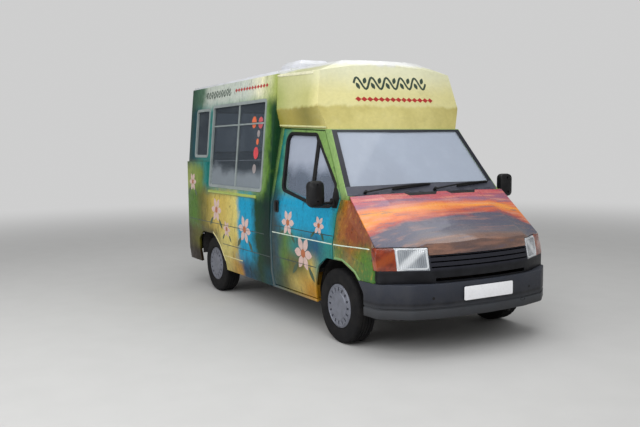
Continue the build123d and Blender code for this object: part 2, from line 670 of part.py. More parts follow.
def build_cab():
    """Cab frame with its pillars, screen surround, scuttle and roof, and the windscreen."""
    hinge_a, hinge_z = BONNET_AXIS
    bonnet_room = cross_rod(hinge_a, hinge_z, 500, 1100, BONNET_SWEEP_R)
    wall = cab_wall(0, DOOR_THICK) - door_opening(GAP, 500, 1100)
    wall = wall - block(FIREWALL, 300, 0, 1100, 0, COWL_Z) - front_arch() - arch_relief() - bonnet_room
    post = cab_wall(WING_WALL, WING_WALL + 75) & block(FIREWALL, 50, 0, 1100, 750, COWL_Z)
    sill_front = -HOUSE_R - BOX_WALL - MOVING_GAP
    sill_box = block(BODY_FRONT + 46, sill_front, 790, 850, SILL_Z, UNDER_FLOOR)
    sill_foot = block(BODY_FRONT + 46, sill_front, 840, 900, SILL_Z, DOOR_BOTTOM - GAP - 3)
    side = joined(wall, post, sill_box, sill_foot)
    skin = cab_block(0) & under_roof_line(0)
    roof = (skin - under_roof_line(ROOF_SKIN)) & block(BODY_FRONT, 300, -1100, 1100, 1700, 2000)
    roof = roof - before_screen(SCREEN_FRAME)
    clear_of_door = door_opening(GAP, 500, 1100) & cab_wall(-5, DOOR_THICK + GAP)
    roof = roof - clear_of_door - flipped(clear_of_door)
    slab = (before_screen(SCREEN_FRAME) - before_screen(0)) & skin
    opening = cab_block(SCREEN_SIDE) & block(-700, 300, -1100, 1100, *SCREEN_GLASS_Z)
    surround = slab - opening
    low, high = TRAY_Z
    foot = SCREEN_FOOT_Z
    scuttle = side_prism(((FIREWALL, low), (130, low), (130, high), (42, high), (42, foot),
                          (20, foot + 28), (FIREWALL, foot + 28)), -790, 790)
    firewall = block(FIREWALL, FIREWALL + 14, -790, 790, FLOOR_Z, low)
    house = round_house(HOUSE_R + BOX_WALL, HOUSE_INNER_Y - BOX_WALL / 4, 1100)
    firewall = firewall - house - flipped(house)
    frame = joined(side, flipped(side), roof)
    frame = (frame - before_screen(SCREEN_FRAME)) & under_roof_line(0)
    frame = joined(frame, surround, scuttle, firewall)
    hinge = door_hinge_arms()
    bracket = bonnet_bracket()
    frame = joined(frame, hinge, flipped(hinge), bracket, flipped(bracket))
    save("cab_frame", frame)
    back = SCREEN_GLASS_BACK + GLASS_THICK + 2
    glass = (before_screen(back) - before_screen(SCREEN_GLASS_BACK)) & opening & under_roof_line(0)
    save("windscreen", glass)


def build_doors():
    """Cab doors with their glass and mirrors."""
    panel = (cab_wall(0, DOOR_THICK) & door_opening(0, 500, 1100)) - front_arch() - arch_relief()
    window = side_prism(DOOR_WINDOW, 500, 1100, DOOR_WINDOW_R)
    bar = side_prism(QUARTER_BAR, 500, 1100) & cab_wall(14, 46) & window
    hollow = cab_wall(22, DOOR_THICK + 5) & side_prism(DOOR_HOLLOW, 500, 1100, 60)
    panel = joined(panel - window - hollow - door_hinge_pocket(), bar, door_hinge_pin())
    glass = (cab_wall(26, 26 + GLASS_THICK) & window) - bar
    head = plan_prism(MIRROR_HEAD, *MIRROR_Z, [20, 20, 60, 20, 20])
    arm = block(-105, -75, 860, 1010, MIRROR_Z[0] + 15, MIRROR_Z[0] + 45) - cab_block(0)
    mirror_solid = joined(head, arm)
    for name, turn in (("left", lambda s: s), ("right", flipped)):
        save(f"door_{name}", turn(panel))
        save(f"door_glass_{name}", turn(glass))
        save(f"mirror_{name}", turn(mirror_solid))


def build_nose():
    """Wings, bonnet, grille panel and lamps."""
    hinge_a, hinge_z = BONNET_AXIS
    bonnet_room = cross_rod(hinge_a, hinge_z, 500, 1100, BONNET_SWEEP_R)
    wing = joined(wing_wall(0, WING_WALL, BONNET_LIP + MOVING_GAP),
                  cab_wall(0, WING_WALL) & block(FIREWALL, BONNET_REAR, 0, 1100, SILL_Z, COWL_Z))
    wing = wing - front_arch() - block(200, 900, 0, 1100, 0, FLOOR_Z) - bonnet_room
    back = FACE_DEPTH + JOINT_GAP
    wing = wing & behind_face(back) & behind_face(back, lean=0, shift=VALANCE_SHIFT)
    save("front_wings", *on_both_sides(wing))

    edge_room = wing_wall(-50, WING_WALL + MOVING_GAP, BONNET_LIP)
    outer = nose_block(0)
    inner = nose_block(SKIN) & behind_face(SKIN)
    tongue = block(600, 900, 8 - LAMP_INNER, LAMP_INNER - 8, GRILLE_TOP + 6, BONNET_FOOT_Z)
    keep = joined(tongue, block(BONNET_REAR, 900, -1000, 1000, BONNET_FOOT_Z, 1400))
    bonnet = ((outer - inner) & behind_face(0)) & keep
    bonnet = bonnet - edge_room - flipped(edge_room)
    bonnet = bonnet - bonnet_pocket() - flipped(bonnet_pocket())
    save("bonnet", joined(bonnet, bonnet_pin(), flipped(bonnet_pin())))

    nose = nose_block(2)
    face = (behind_face(0) - behind_face(FACE_DEPTH)) & nose
    upright = {"lean": 0, "shift": VALANCE_SHIFT}
    low = (behind_face(0, **upright) - behind_face(FACE_DEPTH, **upright)) & nose
    valance = low & block(300, 900, -890, 890, FLOOR_Z, VALANCE_TOP)
    slot_half, slot_bottom, slot_top = VALANCE_SLOT
    valance = valance - block(600, 900, -slot_half, slot_half, slot_bottom, slot_top)
    grille = face & block(300, 900, -LAMP_INNER, LAMP_INNER, VALANCE_TOP, GRILLE_TOP)
    for z in GRILLE_SLOTS:
        grille = grille - block(600, 900, -GRILLE_HALF, GRILLE_HALF, z, z + GRILLE_SLOT_HEIGHT)
    save("grille", joined(valance, grille))
    bottom = VALANCE_TOP + JOINT_GAP
    lamp = face & block(300, 900, LAMP_INNER + JOINT_GAP, LAMP_SPLIT, bottom, LAMP_TOP)
    indicator = face & block(300, 900, LAMP_SPLIT + JOINT_GAP, LAMP_OUTER, bottom, LAMP_TOP)
    save("headlamps", *on_both_sides(lamp))
    save("indicators", *on_both_sides(indicator))


def bumper_solid(shrink, z0, z1):
    """Solid filling the front bumper's outline, made smaller all round."""
    left = [(a - shrink * (0 if index == 0 else 1), y - shrink * (1 if y else 0))
            for index, (a, y) in enumerate(BUMPER_PLAN)]
    right = [(a, -y) for a, y in left[-2::-1]]
    return plan_prism(left + right, z0, z1, [1, 90, 160, 300, 900, 300, 160, 90, 1])


def build_bumpers():
    """Front bumper with its groove, rear bumper and rear lamps."""
    bottom, top = BUMPER_Z
    groove_bottom, groove_top, groove_depth = BUMPER_GROOVE
    bumper = bumper_solid(0, bottom, top) - bumper_solid(BUMPER_WALL, bottom - 5, top + 5)
    groove = bumper_solid(-5, groove_bottom, groove_top)
    bumper = bumper - (groove - bumper_solid(groove_depth, groove_bottom - 5, groove_top + 5))
    bumper = bumper - arch(FRONT_ARCH, 0, 3, -1100, 1100)
    save("front_bumper", bumper & block(200, 900, -1100, 1100, 0, 700))
    rear = plan_prism(((REAR_END, -940), (BUMPER_REAR_END, -900), (BUMPER_REAR_END, 900), (REAR_END, 940)),
                      *REAR_BUMPER_Z, [1, 60, 60, 1])
    save("rear_bumper", rear)
    save("rear_lamps", *on_both_sides(block(REAR_END - 25, REAR_END, *REAR_LAMP)))


def eye_bore(a, z):
    """Bar right across the van through a towing eye."""
    return cross_rod(a, z, -1000, 1000, EYE_R)


def towing_eyes():
    """Front eye on the left rail and rear eye on the right rail."""
    foot = RAIL_Z[0]
    half = EYE_THICK / 2
    a, z = FRONT_EYE
    low, high = z - EYE_EDGE, z + EYE_EDGE
    front = side_prism(((a - EYE_EDGE, low), (a + EYE_EDGE, low), (a + EYE_EDGE, high), (a + 10, foot),
                        (a - 70, foot), (a - EYE_EDGE, high)), EYE_Y - half, EYE_Y + half)
    a_rear, z_rear = REAR_EYE
    low, high = z_rear - 25, z_rear + 25
    start = REAR_END + 118
    rear = side_prism(((start, foot), (start, low + 35), (a_rear - EYE_EDGE, low), (a_rear - EYE_EDGE, high),
                       (a_rear + 105, high + 10), (a_rear + 130, high + 40), (start - 56, foot)),
                      -EYE_Y - half, -EYE_Y + half)
    return front - eye_bore(a, z), rear - eye_bore(a_rear, z_rear)


def build_underbody():
    """Floor, wheel boxes, chassis rails, engine, tank and exhaust."""
    floor = block(REAR_END + POST_THICK, FIREWALL + 14, -880, 880, FLOOR_Z - FLOOR_THICK, FLOOR_Z)
    floor = joined(floor, block(REAR_END, REAR_END + POST_THICK, -800, 800, SILL_Z + 130, FLOOR_Z - 5))
    front_y = HOUSE_INNER_Y - BOX_WALL / 4
    rear_y = REAR_BOX_INNER_Y - BOX_WALL / 4
    front_hull = round_house(HOUSE_R + BOX_WALL, front_y, 1100)
    rear_hull = arch(REAR_ARCH, REAR_WHEEL, REAR_BOX_GROW + BOX_WALL, rear_y, 1100)
    for hull in (front_hull, rear_hull):
        floor = floor - hull - flipped(hull)
    save("floor_pan", floor)
    front_foot, rear_foot = BOX_FOOT_Z
    front_box = front_hull - round_house(HOUSE_R, HOUSE_INNER_Y, 1100)
    reach = HOUSE_R + BOX_WALL + 5
    front_box = front_box & block(-reach, reach, 0, HOUSE_OUTER_Y, front_foot, BELT_Z)
    front_box = front_box - block(-45, 45, 500, HOUSE_INNER_Y + 10, 300, UPPER_ARM_Z[1] + 13)
    rear_box = rear_hull - arch(REAR_ARCH, REAR_WHEEL, REAR_BOX_GROW, REAR_BOX_INNER_Y, 1100)
    rear_box = rear_box & block(REAR_END, BODY_FRONT, 0, REAR_BOX_OUTER_Y, rear_foot, BELT_Z)
    save("wheel_boxes", *on_both_sides(front_box), *on_both_sides(rear_box))

    foot, top = RAIL_Z
    rail = block(REAR_END + 60, 900, *RAIL_Y, *RAIL_Z)
    room = bumper_solid(BUMPER_WALL + JOINT_GAP, SILL_Z, FLOOR_Z)
    rail = rail & joined(room, block(REAR_END, 300, -900, 900, SILL_Z, FLOOR_Z))
    for a in JACKING_PADS:
        pad = block(a - 40, a + 40, RAIL_MIDDLE - 25, RAIL_MIDDLE + 25, foot - PAD_DROP, foot)
        rail = joined(rail, pad)
    frame = joined(rail, flipped(rail))
    for a in CROSS_MEMBERS:
        frame = joined(frame, block(a - 30, a + 30, -RAIL_Y[1], RAIL_Y[1], foot + 40, top))
    save("chassis_frame", joined(frame, *towing_eyes()))

    engine = joined(block(30, 560, -180, 180, 350, 860), block(GEARBOX_REAR, 30, -110, 110, 345, 545))
    radiator = block(605, 655, -330, 330, top + JOINT_GAP, 800)
    save("engine_block", engine, radiator)

    tank = plan_prism(((-2050, 500), (-2050, 860), (-1450, 860), (-1450, 500)), 330, UNDER_FLOOR, 50)
    save("fuel_tank", tank)

    start = (ahead(-200), -110 - JOINT_GAP, EXHAUST_Z)
    tail = (ahead(REAR_END + 20), SILENCER_Y, EXHAUST_Z)
    route = FilletPolyline(start, (ahead(-200), -300, EXHAUST_Z), (ahead(-1000), -300, EXHAUST_Z),
                           (ahead(-1420), SILENCER_Y, EXHAUST_Z), tail, radius=80)
    pipe = sweep(Plane(origin=start, z_dir=(0, -1, 0)) * Circle(EXHAUST_R), path=route)
    silencer = rod((ahead(-1500), SILENCER_Y, EXHAUST_Z), (ahead(-2050), SILENCER_Y, EXHAUST_Z),
                   SILENCER_R)
    hanger = block(-1800, -1760, SILENCER_Y - 20, SILENCER_Y + 20, EXHAUST_Z + 70, UNDER_FLOOR)
    tail_end = REAR_END + 160
    tail_hanger = block(tail_end, tail_end + 30, SILENCER_Y - 10, SILENCER_Y + 10,
                        EXHAUST_Z + 15, UNDER_FLOOR)
    save("exhaust", joined(pipe, silencer, hanger, tail_hanger))


def at_kingpin(z0, z1, radius):
    """Upright bar on the left kingpin's axis."""
    return rod((FRONT_AXLE_X, KINGPIN_Y, z0), (FRONT_AXLE_X, KINGPIN_Y, z1), radius)


def build_suspension():
    """Front suspension arms on their beam, and the knuckles."""
    low, high = LOWER_ARM_Z
    top_low, top_high = UPPER_ARM_Z
    reach = KINGPIN_Y + 28
    arm = plan_prism(((-150, 330), (150, 330), (34, reach), (-34, reach)), low, high)
    top_arm = plan_prism(((-34, 440), (34, 440), (30, reach), (-30, reach)), top_low, top_high)
    strut = rod((FRONT_AXLE_X, 600, top_low + 5), (FRONT_AXLE_X, 600, TYRE_R + HOUSE_R - 4), 26)
    beam = block(-60, 60, -345, 345, low, 300)
    riser = block(-50, 50, RAIL_Y[0] + 2, RAIL_Y[1] - 2, high, RAIL_Z[0])
    link = block(-40, 40, 300, 460, low + 10, high)
    side = joined(arm, top_arm, at_kingpin(low + 5, top_high - 5, KINGPIN_R), strut, riser, link)
    save("front_suspension", joined(beam, side, flipped(side)))

    housing = at_kingpin(high + JOINT_GAP, top_low - JOINT_GAP, KNUCKLE_R)
    start = (FRONT_AXLE_X, KINGPIN_Y, TYRE_R)
    spindle = rod(start, (FRONT_AXLE_X, WHEEL_Y + SPINDLE_REACH, TYRE_R), SPINDLE_R)
    collar = rod(start, (FRONT_AXLE_X, KINGPIN_Y + 60, TYRE_R), KNUCKLE_R + 4)
    knuckle = joined(housing, collar, spindle) - at_kingpin(0, 700, KINGPIN_R + PIN_CLEARANCE)
    save("knuckle_left", knuckle)
    save("knuckle_right", flipped(knuckle))


def leaf_spring():
    """Left rear leaf spring under its rail."""
    ends = RAIL_Z[0] - SPRING_LEAF - JOINT_GAP
    low = TYRE_R + AXLE_TUBE_R - 4
    points = [(ahead(REAR_WHEEL - SPRING_REACH), RAIL_MIDDLE, ends), (ahead(REAR_WHEEL), RAIL_MIDDLE, low),
              (ahead(REAR_WHEEL + SPRING_REACH), RAIL_MIDDLE, ends)]
    top = [(x, y, z + SPRING_LEAF) for x, y, z in points[::-1]]
    edges = [ThreePointArc(*points), Line(points[2], top[0]), ThreePointArc(*top), Line(top[2], points[0])]
    return Solid.extrude(Face(Wire([edge.edge() for edge in edges])), Vector(0, SPRING_WIDTH, 0))


def build_rear_axle():
    """Rear axle with its final drive, shaft and springs."""
    tube_end = WHEEL_Y - 40
    end = WHEEL_Y + SPINDLE_REACH
    tube = rod((REAR_AXLE_X, -tube_end, TYRE_R), (REAR_AXLE_X, tube_end, TYRE_R), AXLE_TUBE_R)
    stub = rod((REAR_AXLE_X, -end, TYRE_R), (REAR_AXLE_X, end, TYRE_R), SPINDLE_R)
    housing = rod((REAR_AXLE_X, 0, TYRE_R - 120), (REAR_AXLE_X, 0, TYRE_R + 100), DIFFERENTIAL_R)
    shaft = rod((REAR_AXLE_X, 0, TYRE_R + 20), (ahead(GEARBOX_REAR - 6), 0, RAIL_Z[0]), 32)
    leaf = leaf_spring()
    save("rear_axle", joined(tube, stub, housing, shaft, leaf, flipped(leaf)))


def turned(profile):
    """Solid of revolution about the axle line from (radius, outboard) points."""
    outline = make_face(Polyline(*[(radius, outboard, 0) for radius, outboard in profile], close=True))
    return Solid.revolve(outline.face(), 360, Axis.Y)


def build_wheels():
    """Four wheels with slotted trims, and their tyres."""
    wheel = turned(WHEEL_PROFILE)
    for index in range(TRIM_SLOTS):
        angle = index * 360 / TRIM_SLOTS
        slot = Pos(TRIM_SLOT_R, 100, 0) * Box(TRIM_SLOT_LENGTH, 60, TRIM_SLOT_WIDTH)
        wheel = wheel - Rot(0, angle, 0) * slot
    tyre = turned(TYRE_PROFILE)
    for end, axle_x in (("front", FRONT_AXLE_X), ("rear", REAR_AXLE_X)):
        for name, turn in (("left", lambda s: s), ("right", flipped)):
            place = Pos(axle_x, WHEEL_Y, TYRE_R)
            save(f"wheel_{end}_{name}", turn(place * wheel))
            save(f"tyre_{end}_{name}", turn(place * tyre))


def rear_hinge(z, moving):
    """One half of a left rear door hinge: the door's upper half or the post's lower half and pin."""
    a, y = REAR_AXIS
    if moving:
        barrel = rod((ahead(a), y, z + JOINT_GAP), (ahead(a), y, z + HALF_BARREL), REAR_BARREL_R)
        leaf = block(REAR_END - REAR_LEAF, REAR_END, y - 60, y - 4, z + JOINT_GAP, z + HALF_BARREL)
        bore = rod((ahead(a), y, z - 1), (ahead(a), y, z + HALF_BARREL + 1), REAR_PIN_R + PIN_CLEARANCE)
        return joined(barrel, leaf, block(a, REAR_END, y - 8, y - 4, z + JOINT_GAP, z + HALF_BARREL)) - bore
    barrel = rod((ahead(a), y, z - HALF_BARREL), (ahead(a), y, z), REAR_BARREL_R)
    leaf = block(REAR_END - REAR_LEAF, REAR_END, y + 4, y + 30, z - HALF_BARREL, z)
    web = block(a, REAR_END, y + 4, y + 8, z - HALF_BARREL, z)
    pin = rod((ahead(a), y, z - 2), (ahead(a), y, z + HALF_BARREL), REAR_PIN_R)
    return joined(barrel, leaf, web, pin)


def build_rear_doors():
    """Two low rear doors."""
    gap = REAR_DOOR_GAP
    door = block(REAR_END, REAR_END + REAR_DOOR_THICK, gap / 2, REAR_POST_Y - gap,
                 FLOOR_Z + 5, LEDGE_Z - gap)
    door = joined(door, *[rear_hinge(z, True) for z in REAR_HINGE_Z])
    save("rear_door_left", door)
    save("rear_door_right", flipped(door))


def build_cab_inside():
    """Dashboard, steering wheel on its column, and seats."""
    dash = side_prism(DASH_OUTLINE, -780, 780, [5, 20, 60, 40, 40])
    save("dashboard", dash)
    a, y, z = STEERING_CENTRE
    tilt = radians(STEERING_TILT)
    plane = Plane(origin=(ahead(a), y, z), x_dir=(0, 1, 0), z_dir=(-sin(tilt), 0, cos(tilt)))
    rim = plane * Solid.make_torus(STEERING_R, 13)
    hub = plane * Solid.make_cylinder(45, 40)
    cross_bar = plane * (Pos(0, 0, 12) * Box(2 * STEERING_R - 10, 30, 12))
    down_bar = plane * (Pos(0, -STEERING_R / 2, 12) * Box(30, STEERING_R - 5, 12))
    column = rod((ahead(a), y, z), (ahead(a + 190), y, z - 135), 25)
    save("steering_wheel", joined(rim, hub, cross_bar, down_bar, column) - dash)
    seats = []
    for y0, y1 in SEAT_WIDTHS:
        base = block(-1000, -560, y0 + 40, y1 - 40, FLOOR_Z, SEAT_TOP)
        cushion = side_prism(((-1030, SEAT_TOP), (-510, SEAT_TOP),
                              (-500, SEAT_TOP + 130), (-1030, SEAT_TOP + 110)), y0, y1, 30)
        back = side_prism(((-1040, SEAT_TOP + 112), (-930, SEAT_TOP + 112), (-1040, SEAT_TOP + 760),
                           (-1130, SEAT_TOP + 740)), y0, y1, 30)
        seats += [base, cushion, back]
    save("seats", *seats)


def build_serving_units():
    """Counters over the wheel boxes on both sides, and the tall machine on the left one."""
    rear, front = REAR_END + 70, BODY_FRONT - 198
    grow = REAR_BOX_GROW + BOX_WALL + UNIT_ROOM
    box_front = REAR_WHEEL + TYRE_R + REAR_ARCH[-1][1] + grow
    box_top = TYRE_R + (TYRE_R + REAR_ARCH[2][1]) * sin(radians(REAR_ARCH[2][0])) + grow
    outline = ((front, FLOOR_Z), (front, UNIT_TOP), (rear, UNIT_TOP), (rear, box_top), (box_front, box_top),
               (box_front, FLOOR_Z))
    units = on_both_sides(side_prism(outline, *UNIT_Y))
    machine = block(rear + 270, rear + 770, 420, 800, UNIT_TOP, 1900)
    save("serving_units", *units, machine)


def build():
    """Write every node."""
    os.makedirs("parts", exist_ok=True)
    build_body()
    build_roof()
    build_dome()
    build_cab()
    build_doors()
    build_nose()
    build_bumpers()
    build_underbody()
    build_suspension()
    build_rear_axle()
    build_wheels()
    build_rear_doors()
    build_cab_inside()
    build_serving_units()


build()
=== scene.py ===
"""Studio scene of a hand-painted ice cream van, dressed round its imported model.

Everything is in metres in the model's own frame: X forward, Y to the van's left, Z up from the road.
Places called ahead are measured forward from the front axle.
"""

from __future__ import annotations

import functools
import json
import logging
import math
from dataclasses import dataclass, field
from enum import Enum
from typing import Any, Callable, Iterable, Sequence

import bmesh
import bpy
from mathutils import Matrix, Vector
from mathutils.bvhtree import BVHTree

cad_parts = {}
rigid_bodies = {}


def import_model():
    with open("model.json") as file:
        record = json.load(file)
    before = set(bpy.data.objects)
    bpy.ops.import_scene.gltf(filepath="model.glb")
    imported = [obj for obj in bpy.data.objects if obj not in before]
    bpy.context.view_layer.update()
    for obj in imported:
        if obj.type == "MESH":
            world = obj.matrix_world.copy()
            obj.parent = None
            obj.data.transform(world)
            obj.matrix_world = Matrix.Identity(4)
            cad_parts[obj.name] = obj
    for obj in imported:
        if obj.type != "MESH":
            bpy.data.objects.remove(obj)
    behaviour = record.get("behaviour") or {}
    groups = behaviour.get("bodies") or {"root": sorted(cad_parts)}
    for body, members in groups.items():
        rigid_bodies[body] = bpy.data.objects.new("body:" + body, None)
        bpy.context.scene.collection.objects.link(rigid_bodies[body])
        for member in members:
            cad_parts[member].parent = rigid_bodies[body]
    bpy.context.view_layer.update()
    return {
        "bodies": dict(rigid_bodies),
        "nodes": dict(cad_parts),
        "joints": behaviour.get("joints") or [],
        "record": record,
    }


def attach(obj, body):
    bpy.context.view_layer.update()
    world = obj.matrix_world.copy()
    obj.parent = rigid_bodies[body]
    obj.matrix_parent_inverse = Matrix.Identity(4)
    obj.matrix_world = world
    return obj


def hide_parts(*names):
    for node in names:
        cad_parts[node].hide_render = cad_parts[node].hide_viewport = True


LOG = logging.getLogger("ice_cream_van")
AXLE = 1.455
WHEELBASE = 2.815
SIDES = (("left", 1), ("right", -1))
SAME_POINT = 2e-5
FLAT_DEGREES = 0.4
CRISP_DEGREES = 35.0
Colour = tuple[float, float, float, float]
Stops = Sequence[tuple[float, Colour]]
Spot = tuple[float, float]
Triple = tuple[float, float, float]
Row = tuple[float, float, float, int, float]
Flat = Sequence[Spot]
Outline = list[Spot]
Found = tuple[Vector, Vector]
Finder = Callable[..., Found]
Piece = bpy.types.Object
WHITEST = 0.95
WHITE: Colour = (1.0, 1.0, 1.0, 1.0)


def rgb(red: int, green: int, blue: int) -> Colour:
    """Turn an 8-bit display colour into a linear one.

    Args:
        red, green, blue: display values from 0 to 255.

    Returns:
        The linear colour with an alpha of 1.
    """
    def channel(value: int) -> float:
        """Linear value of one channel."""
        part = value / 255
        return min(part / 12.92 if part <= 0.04045 else ((part + 0.055) / 1.055) ** 2.4, WHITEST)
    return channel(red), channel(green), channel(blue), 1.0


def at(ahead: float, y: float, z: float) -> Vector:
    """Point at a distance ahead of the front axle."""
    return Vector((AXLE + ahead, y, z))


# Node graphs


class Mix(Enum):
    """How two colours are mixed."""

    PLAIN = "MIX"
    DARKEN = "MULTIPLY"
    GLOW = "DODGE"


class Port:
    """A node's output that takes part in arithmetic."""

    def __init__(self, graph: Graph, socket: bpy.types.NodeSocket) -> None:
        """Wrap one socket of a graph."""
        self.graph = graph
        self.socket = socket

    def math(self, operation: str, *others: Any) -> Port:
        """Feed this port and others to a Math node.

        Args:
            operation: the Math node's operation.
            others: further ports or numbers.

        Returns:
            The node's result.
        """
        values = dict(enumerate((self, *others)))
        return self.graph.node("ShaderNodeMath", {"operation": operation}, values)

    def swapped(self, operation: str, other: Any) -> Port:
        """Math node with this port as its second value."""
        return self.graph.node("ShaderNodeMath", {"operation": operation}, {0: other, 1: self})

    def __add__(self, other: Any) -> Port:
        """Sum."""
        return self.math("ADD", other)

    def __radd__(self, other: Any) -> Port:
        """Sum with the port on the right."""
        return self.swapped("ADD", other)

    def __sub__(self, other: Any) -> Port:
        """Difference."""
        return self.math("SUBTRACT", other)

    def __rsub__(self, other: Any) -> Port:
        """Difference with the port on the right."""
        return self.swapped("SUBTRACT", other)

    def __mul__(self, other: Any) -> Port:
        """Product."""
        return self.math("MULTIPLY", other)

    def __rmul__(self, other: Any) -> Port:
        """Product with the port on the right."""
        return self.swapped("MULTIPLY", other)

    def __truediv__(self, other: Any) -> Port:
        """Quotient."""
        return self.math("DIVIDE", other)

    def __rtruediv__(self, other: Any) -> Port:
        """Quotient with the port on the right."""
        return self.swapped("DIVIDE", other)

    def size(self) -> Port:
        """Absolute value."""
        return self.math("ABSOLUTE")

    def rise(self, low: float, high: float) -> Port:
        """Smooth step from 0 at low to 1 at high.

        Args:
            low: value where the step starts.
            high: value where it ends, which may be the lower one.

        Returns:
            The step between 0 and 1.
        """
        settings = {"interpolation_type": "SMOOTHSTEP", "clamp": True}
        turn = high < low
        first, last = (high, low) if turn else (low, high)
        ends = (1.0, 0.0) if turn else (0.0, 1.0)
        return self.graph.node("ShaderNodeMapRange", settings,
                               {0: self, 1: first, 2: last, 3: ends[0], 4: ends[1]})


class Graph:
    """A node tree that is built by one method."""

    def __init__(self, tree: bpy.types.NodeTree) -> None:
        """Start with an empty tree."""
        self.tree = tree
        tree.nodes.clear()

    def node(self, kind: str, settings: dict[str, Any] | None = None,
             values: dict[int | str, Any] | None = None, output: int | str = 0) -> Port | None:
        """Add any node.

        Args:
            kind: the node's type name.
            settings: its properties, set first; stops are a ramp's (place, colour) pairs.
            values: its inputs by name or by place among those in use, as ports or plain values.
            output: name of the output, or its place among those in use.

        Returns:
            That output, or None when the node has none.
        """
        made = self.tree.nodes.new(kind)
        for key, value in (settings or {}).items():
            if key != "stops":
                setattr(made, key, value)
                continue
            elements = made.color_ramp.elements
            while len(elements) < len(value):
                elements.new(1.0)
            for element, (place, colour) in zip(elements, value):
                element.position = place
                element.color = colour
        live = [socket for socket in made.inputs if socket.enabled]
        for key, value in (values or {}).items():
            socket = live[key] if isinstance(key, int) else made.inputs[key]
            if isinstance(value, Port):
                self.tree.links.new(value.socket, socket)
            else:
                socket.default_value = value
        outs = [socket for socket in made.outputs if socket.enabled]
        if not outs:
            return None
        return Port(self, outs[output] if isinstance(output, int) else made.outputs[output])

    def place(self) -> Port:
        """Object coordinates."""
        return self.node("ShaderNodeTexCoord", output="Object")

    def parts(self, vector: Port) -> tuple[Port, ...]:
        """X, Y and Z of a vector."""
        split = self.node("ShaderNodeSeparateXYZ", {}, {0: vector}).socket.node
        return tuple(Port(self, socket) for socket in split.outputs)

    def scaled(self, vector: Port, factors: Triple) -> Port:
        """Vector multiplied part by part."""
        return self.node("ShaderNodeVectorMath", {"operation": "MULTIPLY"}, {0: vector, 1: factors})

    def noise(self, vector: Port, scale: float, detail: float = 3.0, rough: float = 0.55) -> Port:
        """Noise about 0.5.

        Args:
            vector: where it is read.
            scale: its frequency per metre.
            detail: number of finer layers.
            rough: strength of the finer layers.

        Returns:
            The noise value.
        """
        values = {"Vector": vector, "Scale": scale, "Detail": detail, "Roughness": rough}
        return self.node("ShaderNodeTexNoise", {}, values)

    def ramp(self, value: Port, low: float, high: float, stops: Stops) -> Port:
        """Colour ramp along a value, its stops given in the value's own units.

        Args:
            value: what the ramp follows.
            low: value at the ramp's start.
            high: value at its end.
            stops: value and colour of each stop.

        Returns:
            The colour.
        """
        span = high - low
        spots = [((place - low) / span, colour) for place, colour in stops]
        return self.node("ShaderNodeValToRGB", {"stops": spots}, {0: (value - low) / span})

    def blend(self, factor: Any, first: Any, second: Any, mode: Mix = Mix.PLAIN) -> Port:
        """Mix of two colours.

        Args:
            factor: share of the second.
            first: colour at 0.
            second: colour at 1.
            mode: how they mix.

        Returns:
            The mixed colour.
        """
        settings = {"data_type": "RGBA", "blend_type": mode.value, "clamp_factor": True}
        return self.node("ShaderNodeMix", settings, {0: factor, 1: first, 2: second})

    def bump(self, height: Port, distance: float) -> Port:
        """Normal bent by a height."""
        return self.node("ShaderNodeBump", {}, {"Height": height, "Distance": distance, "Strength": 1.0})


# Finishes

COAT_ROUGHNESS = 0.08
DUST = rgb(44, 36, 24)
DUST_Z = (0.85, 0.25)
LINING = rgb(196, 200, 202)


def opened(name: str) -> tuple[bpy.types.Material, Graph, Port]:
    """New material with its empty graph and object coordinates.

    Args:
        name: the material's name.

    Returns:
        The material, its graph and the coordinates.
    """
    material = bpy.data.materials.new(name)
    material.use_nodes = True
    graph = Graph(material.node_tree)
    return material, graph, graph.place()


@dataclass(frozen=True)
class Finish:
    """A mottled surface with uneven gloss, fine grain and road dirt low down."""

    name: str
    colour: Colour
    tone: Colour = (0.5, 0.5, 0.5, 1.0)
    mottle: float = 0.35
    patch: float = 7.0
    roughness: float = 0.45
    spread: float = 0.15
    metallic: float = 0.0
    coat: float = 0.0
    grain: float = 350.0
    depth: float = 0.0002
    grime: float = 0.0
    gleam: float = 0.5

    def base(self, graph: Graph, place: Port) -> Any:
        """Colour under the mottling."""
        return self.colour

    def tint(self, graph: Graph, place: Port) -> Port:
        """Colour over the surface.

        Args:
            graph: the material's graph.
            place: object coordinates.

        Returns:
            A colour port.
        """
        patches = graph.noise(place, self.patch, 4.0).rise(0.35, 0.75)
        return graph.blend(patches * self.mottle, self.base(graph, place), self.tone)

    def height(self, graph: Graph, place: Port) -> Port:
        """Relief that bends the normal."""
        return graph.noise(place, self.grain, 2.0)

    def wave(self, graph: Graph, place: Port) -> Port:
        """The relief of a regular finish, from 0 to 1."""
        return self.height(graph, place) * 0.5 + 0.5

    def make(self) -> bpy.types.Material:
        """Build the material.

        Returns:
            The material.
        """
        material, graph, place = opened(self.name)
        colour = self.tint(graph, place)
        gloss = self.roughness + (graph.noise(place, self.patch * 3, 3.0) - 0.5) * (self.spread * 2)
        if self.grime:
            low = graph.parts(place)[2].rise(*DUST_Z)
            dust = low * graph.noise(place, 9.0, 6.0, 0.7).rise(0.3, 0.7) * self.grime
            colour = graph.blend(dust, colour, DUST)
            gloss = gloss + dust * 0.4
        normal = graph.bump(self.height(graph, place), self.depth)
        shader = graph.node("ShaderNodeBsdfPrincipled", {}, {
            "Base Color": colour, "Roughness": gloss, "Metallic": self.metallic,
            "Specular IOR Level": self.gleam,
            "Coat Weight": self.coat, "Coat Roughness": COAT_ROUGHNESS, "Normal": normal})
        graph.node("ShaderNodeOutputMaterial", {}, {"Surface": shader})
        return material


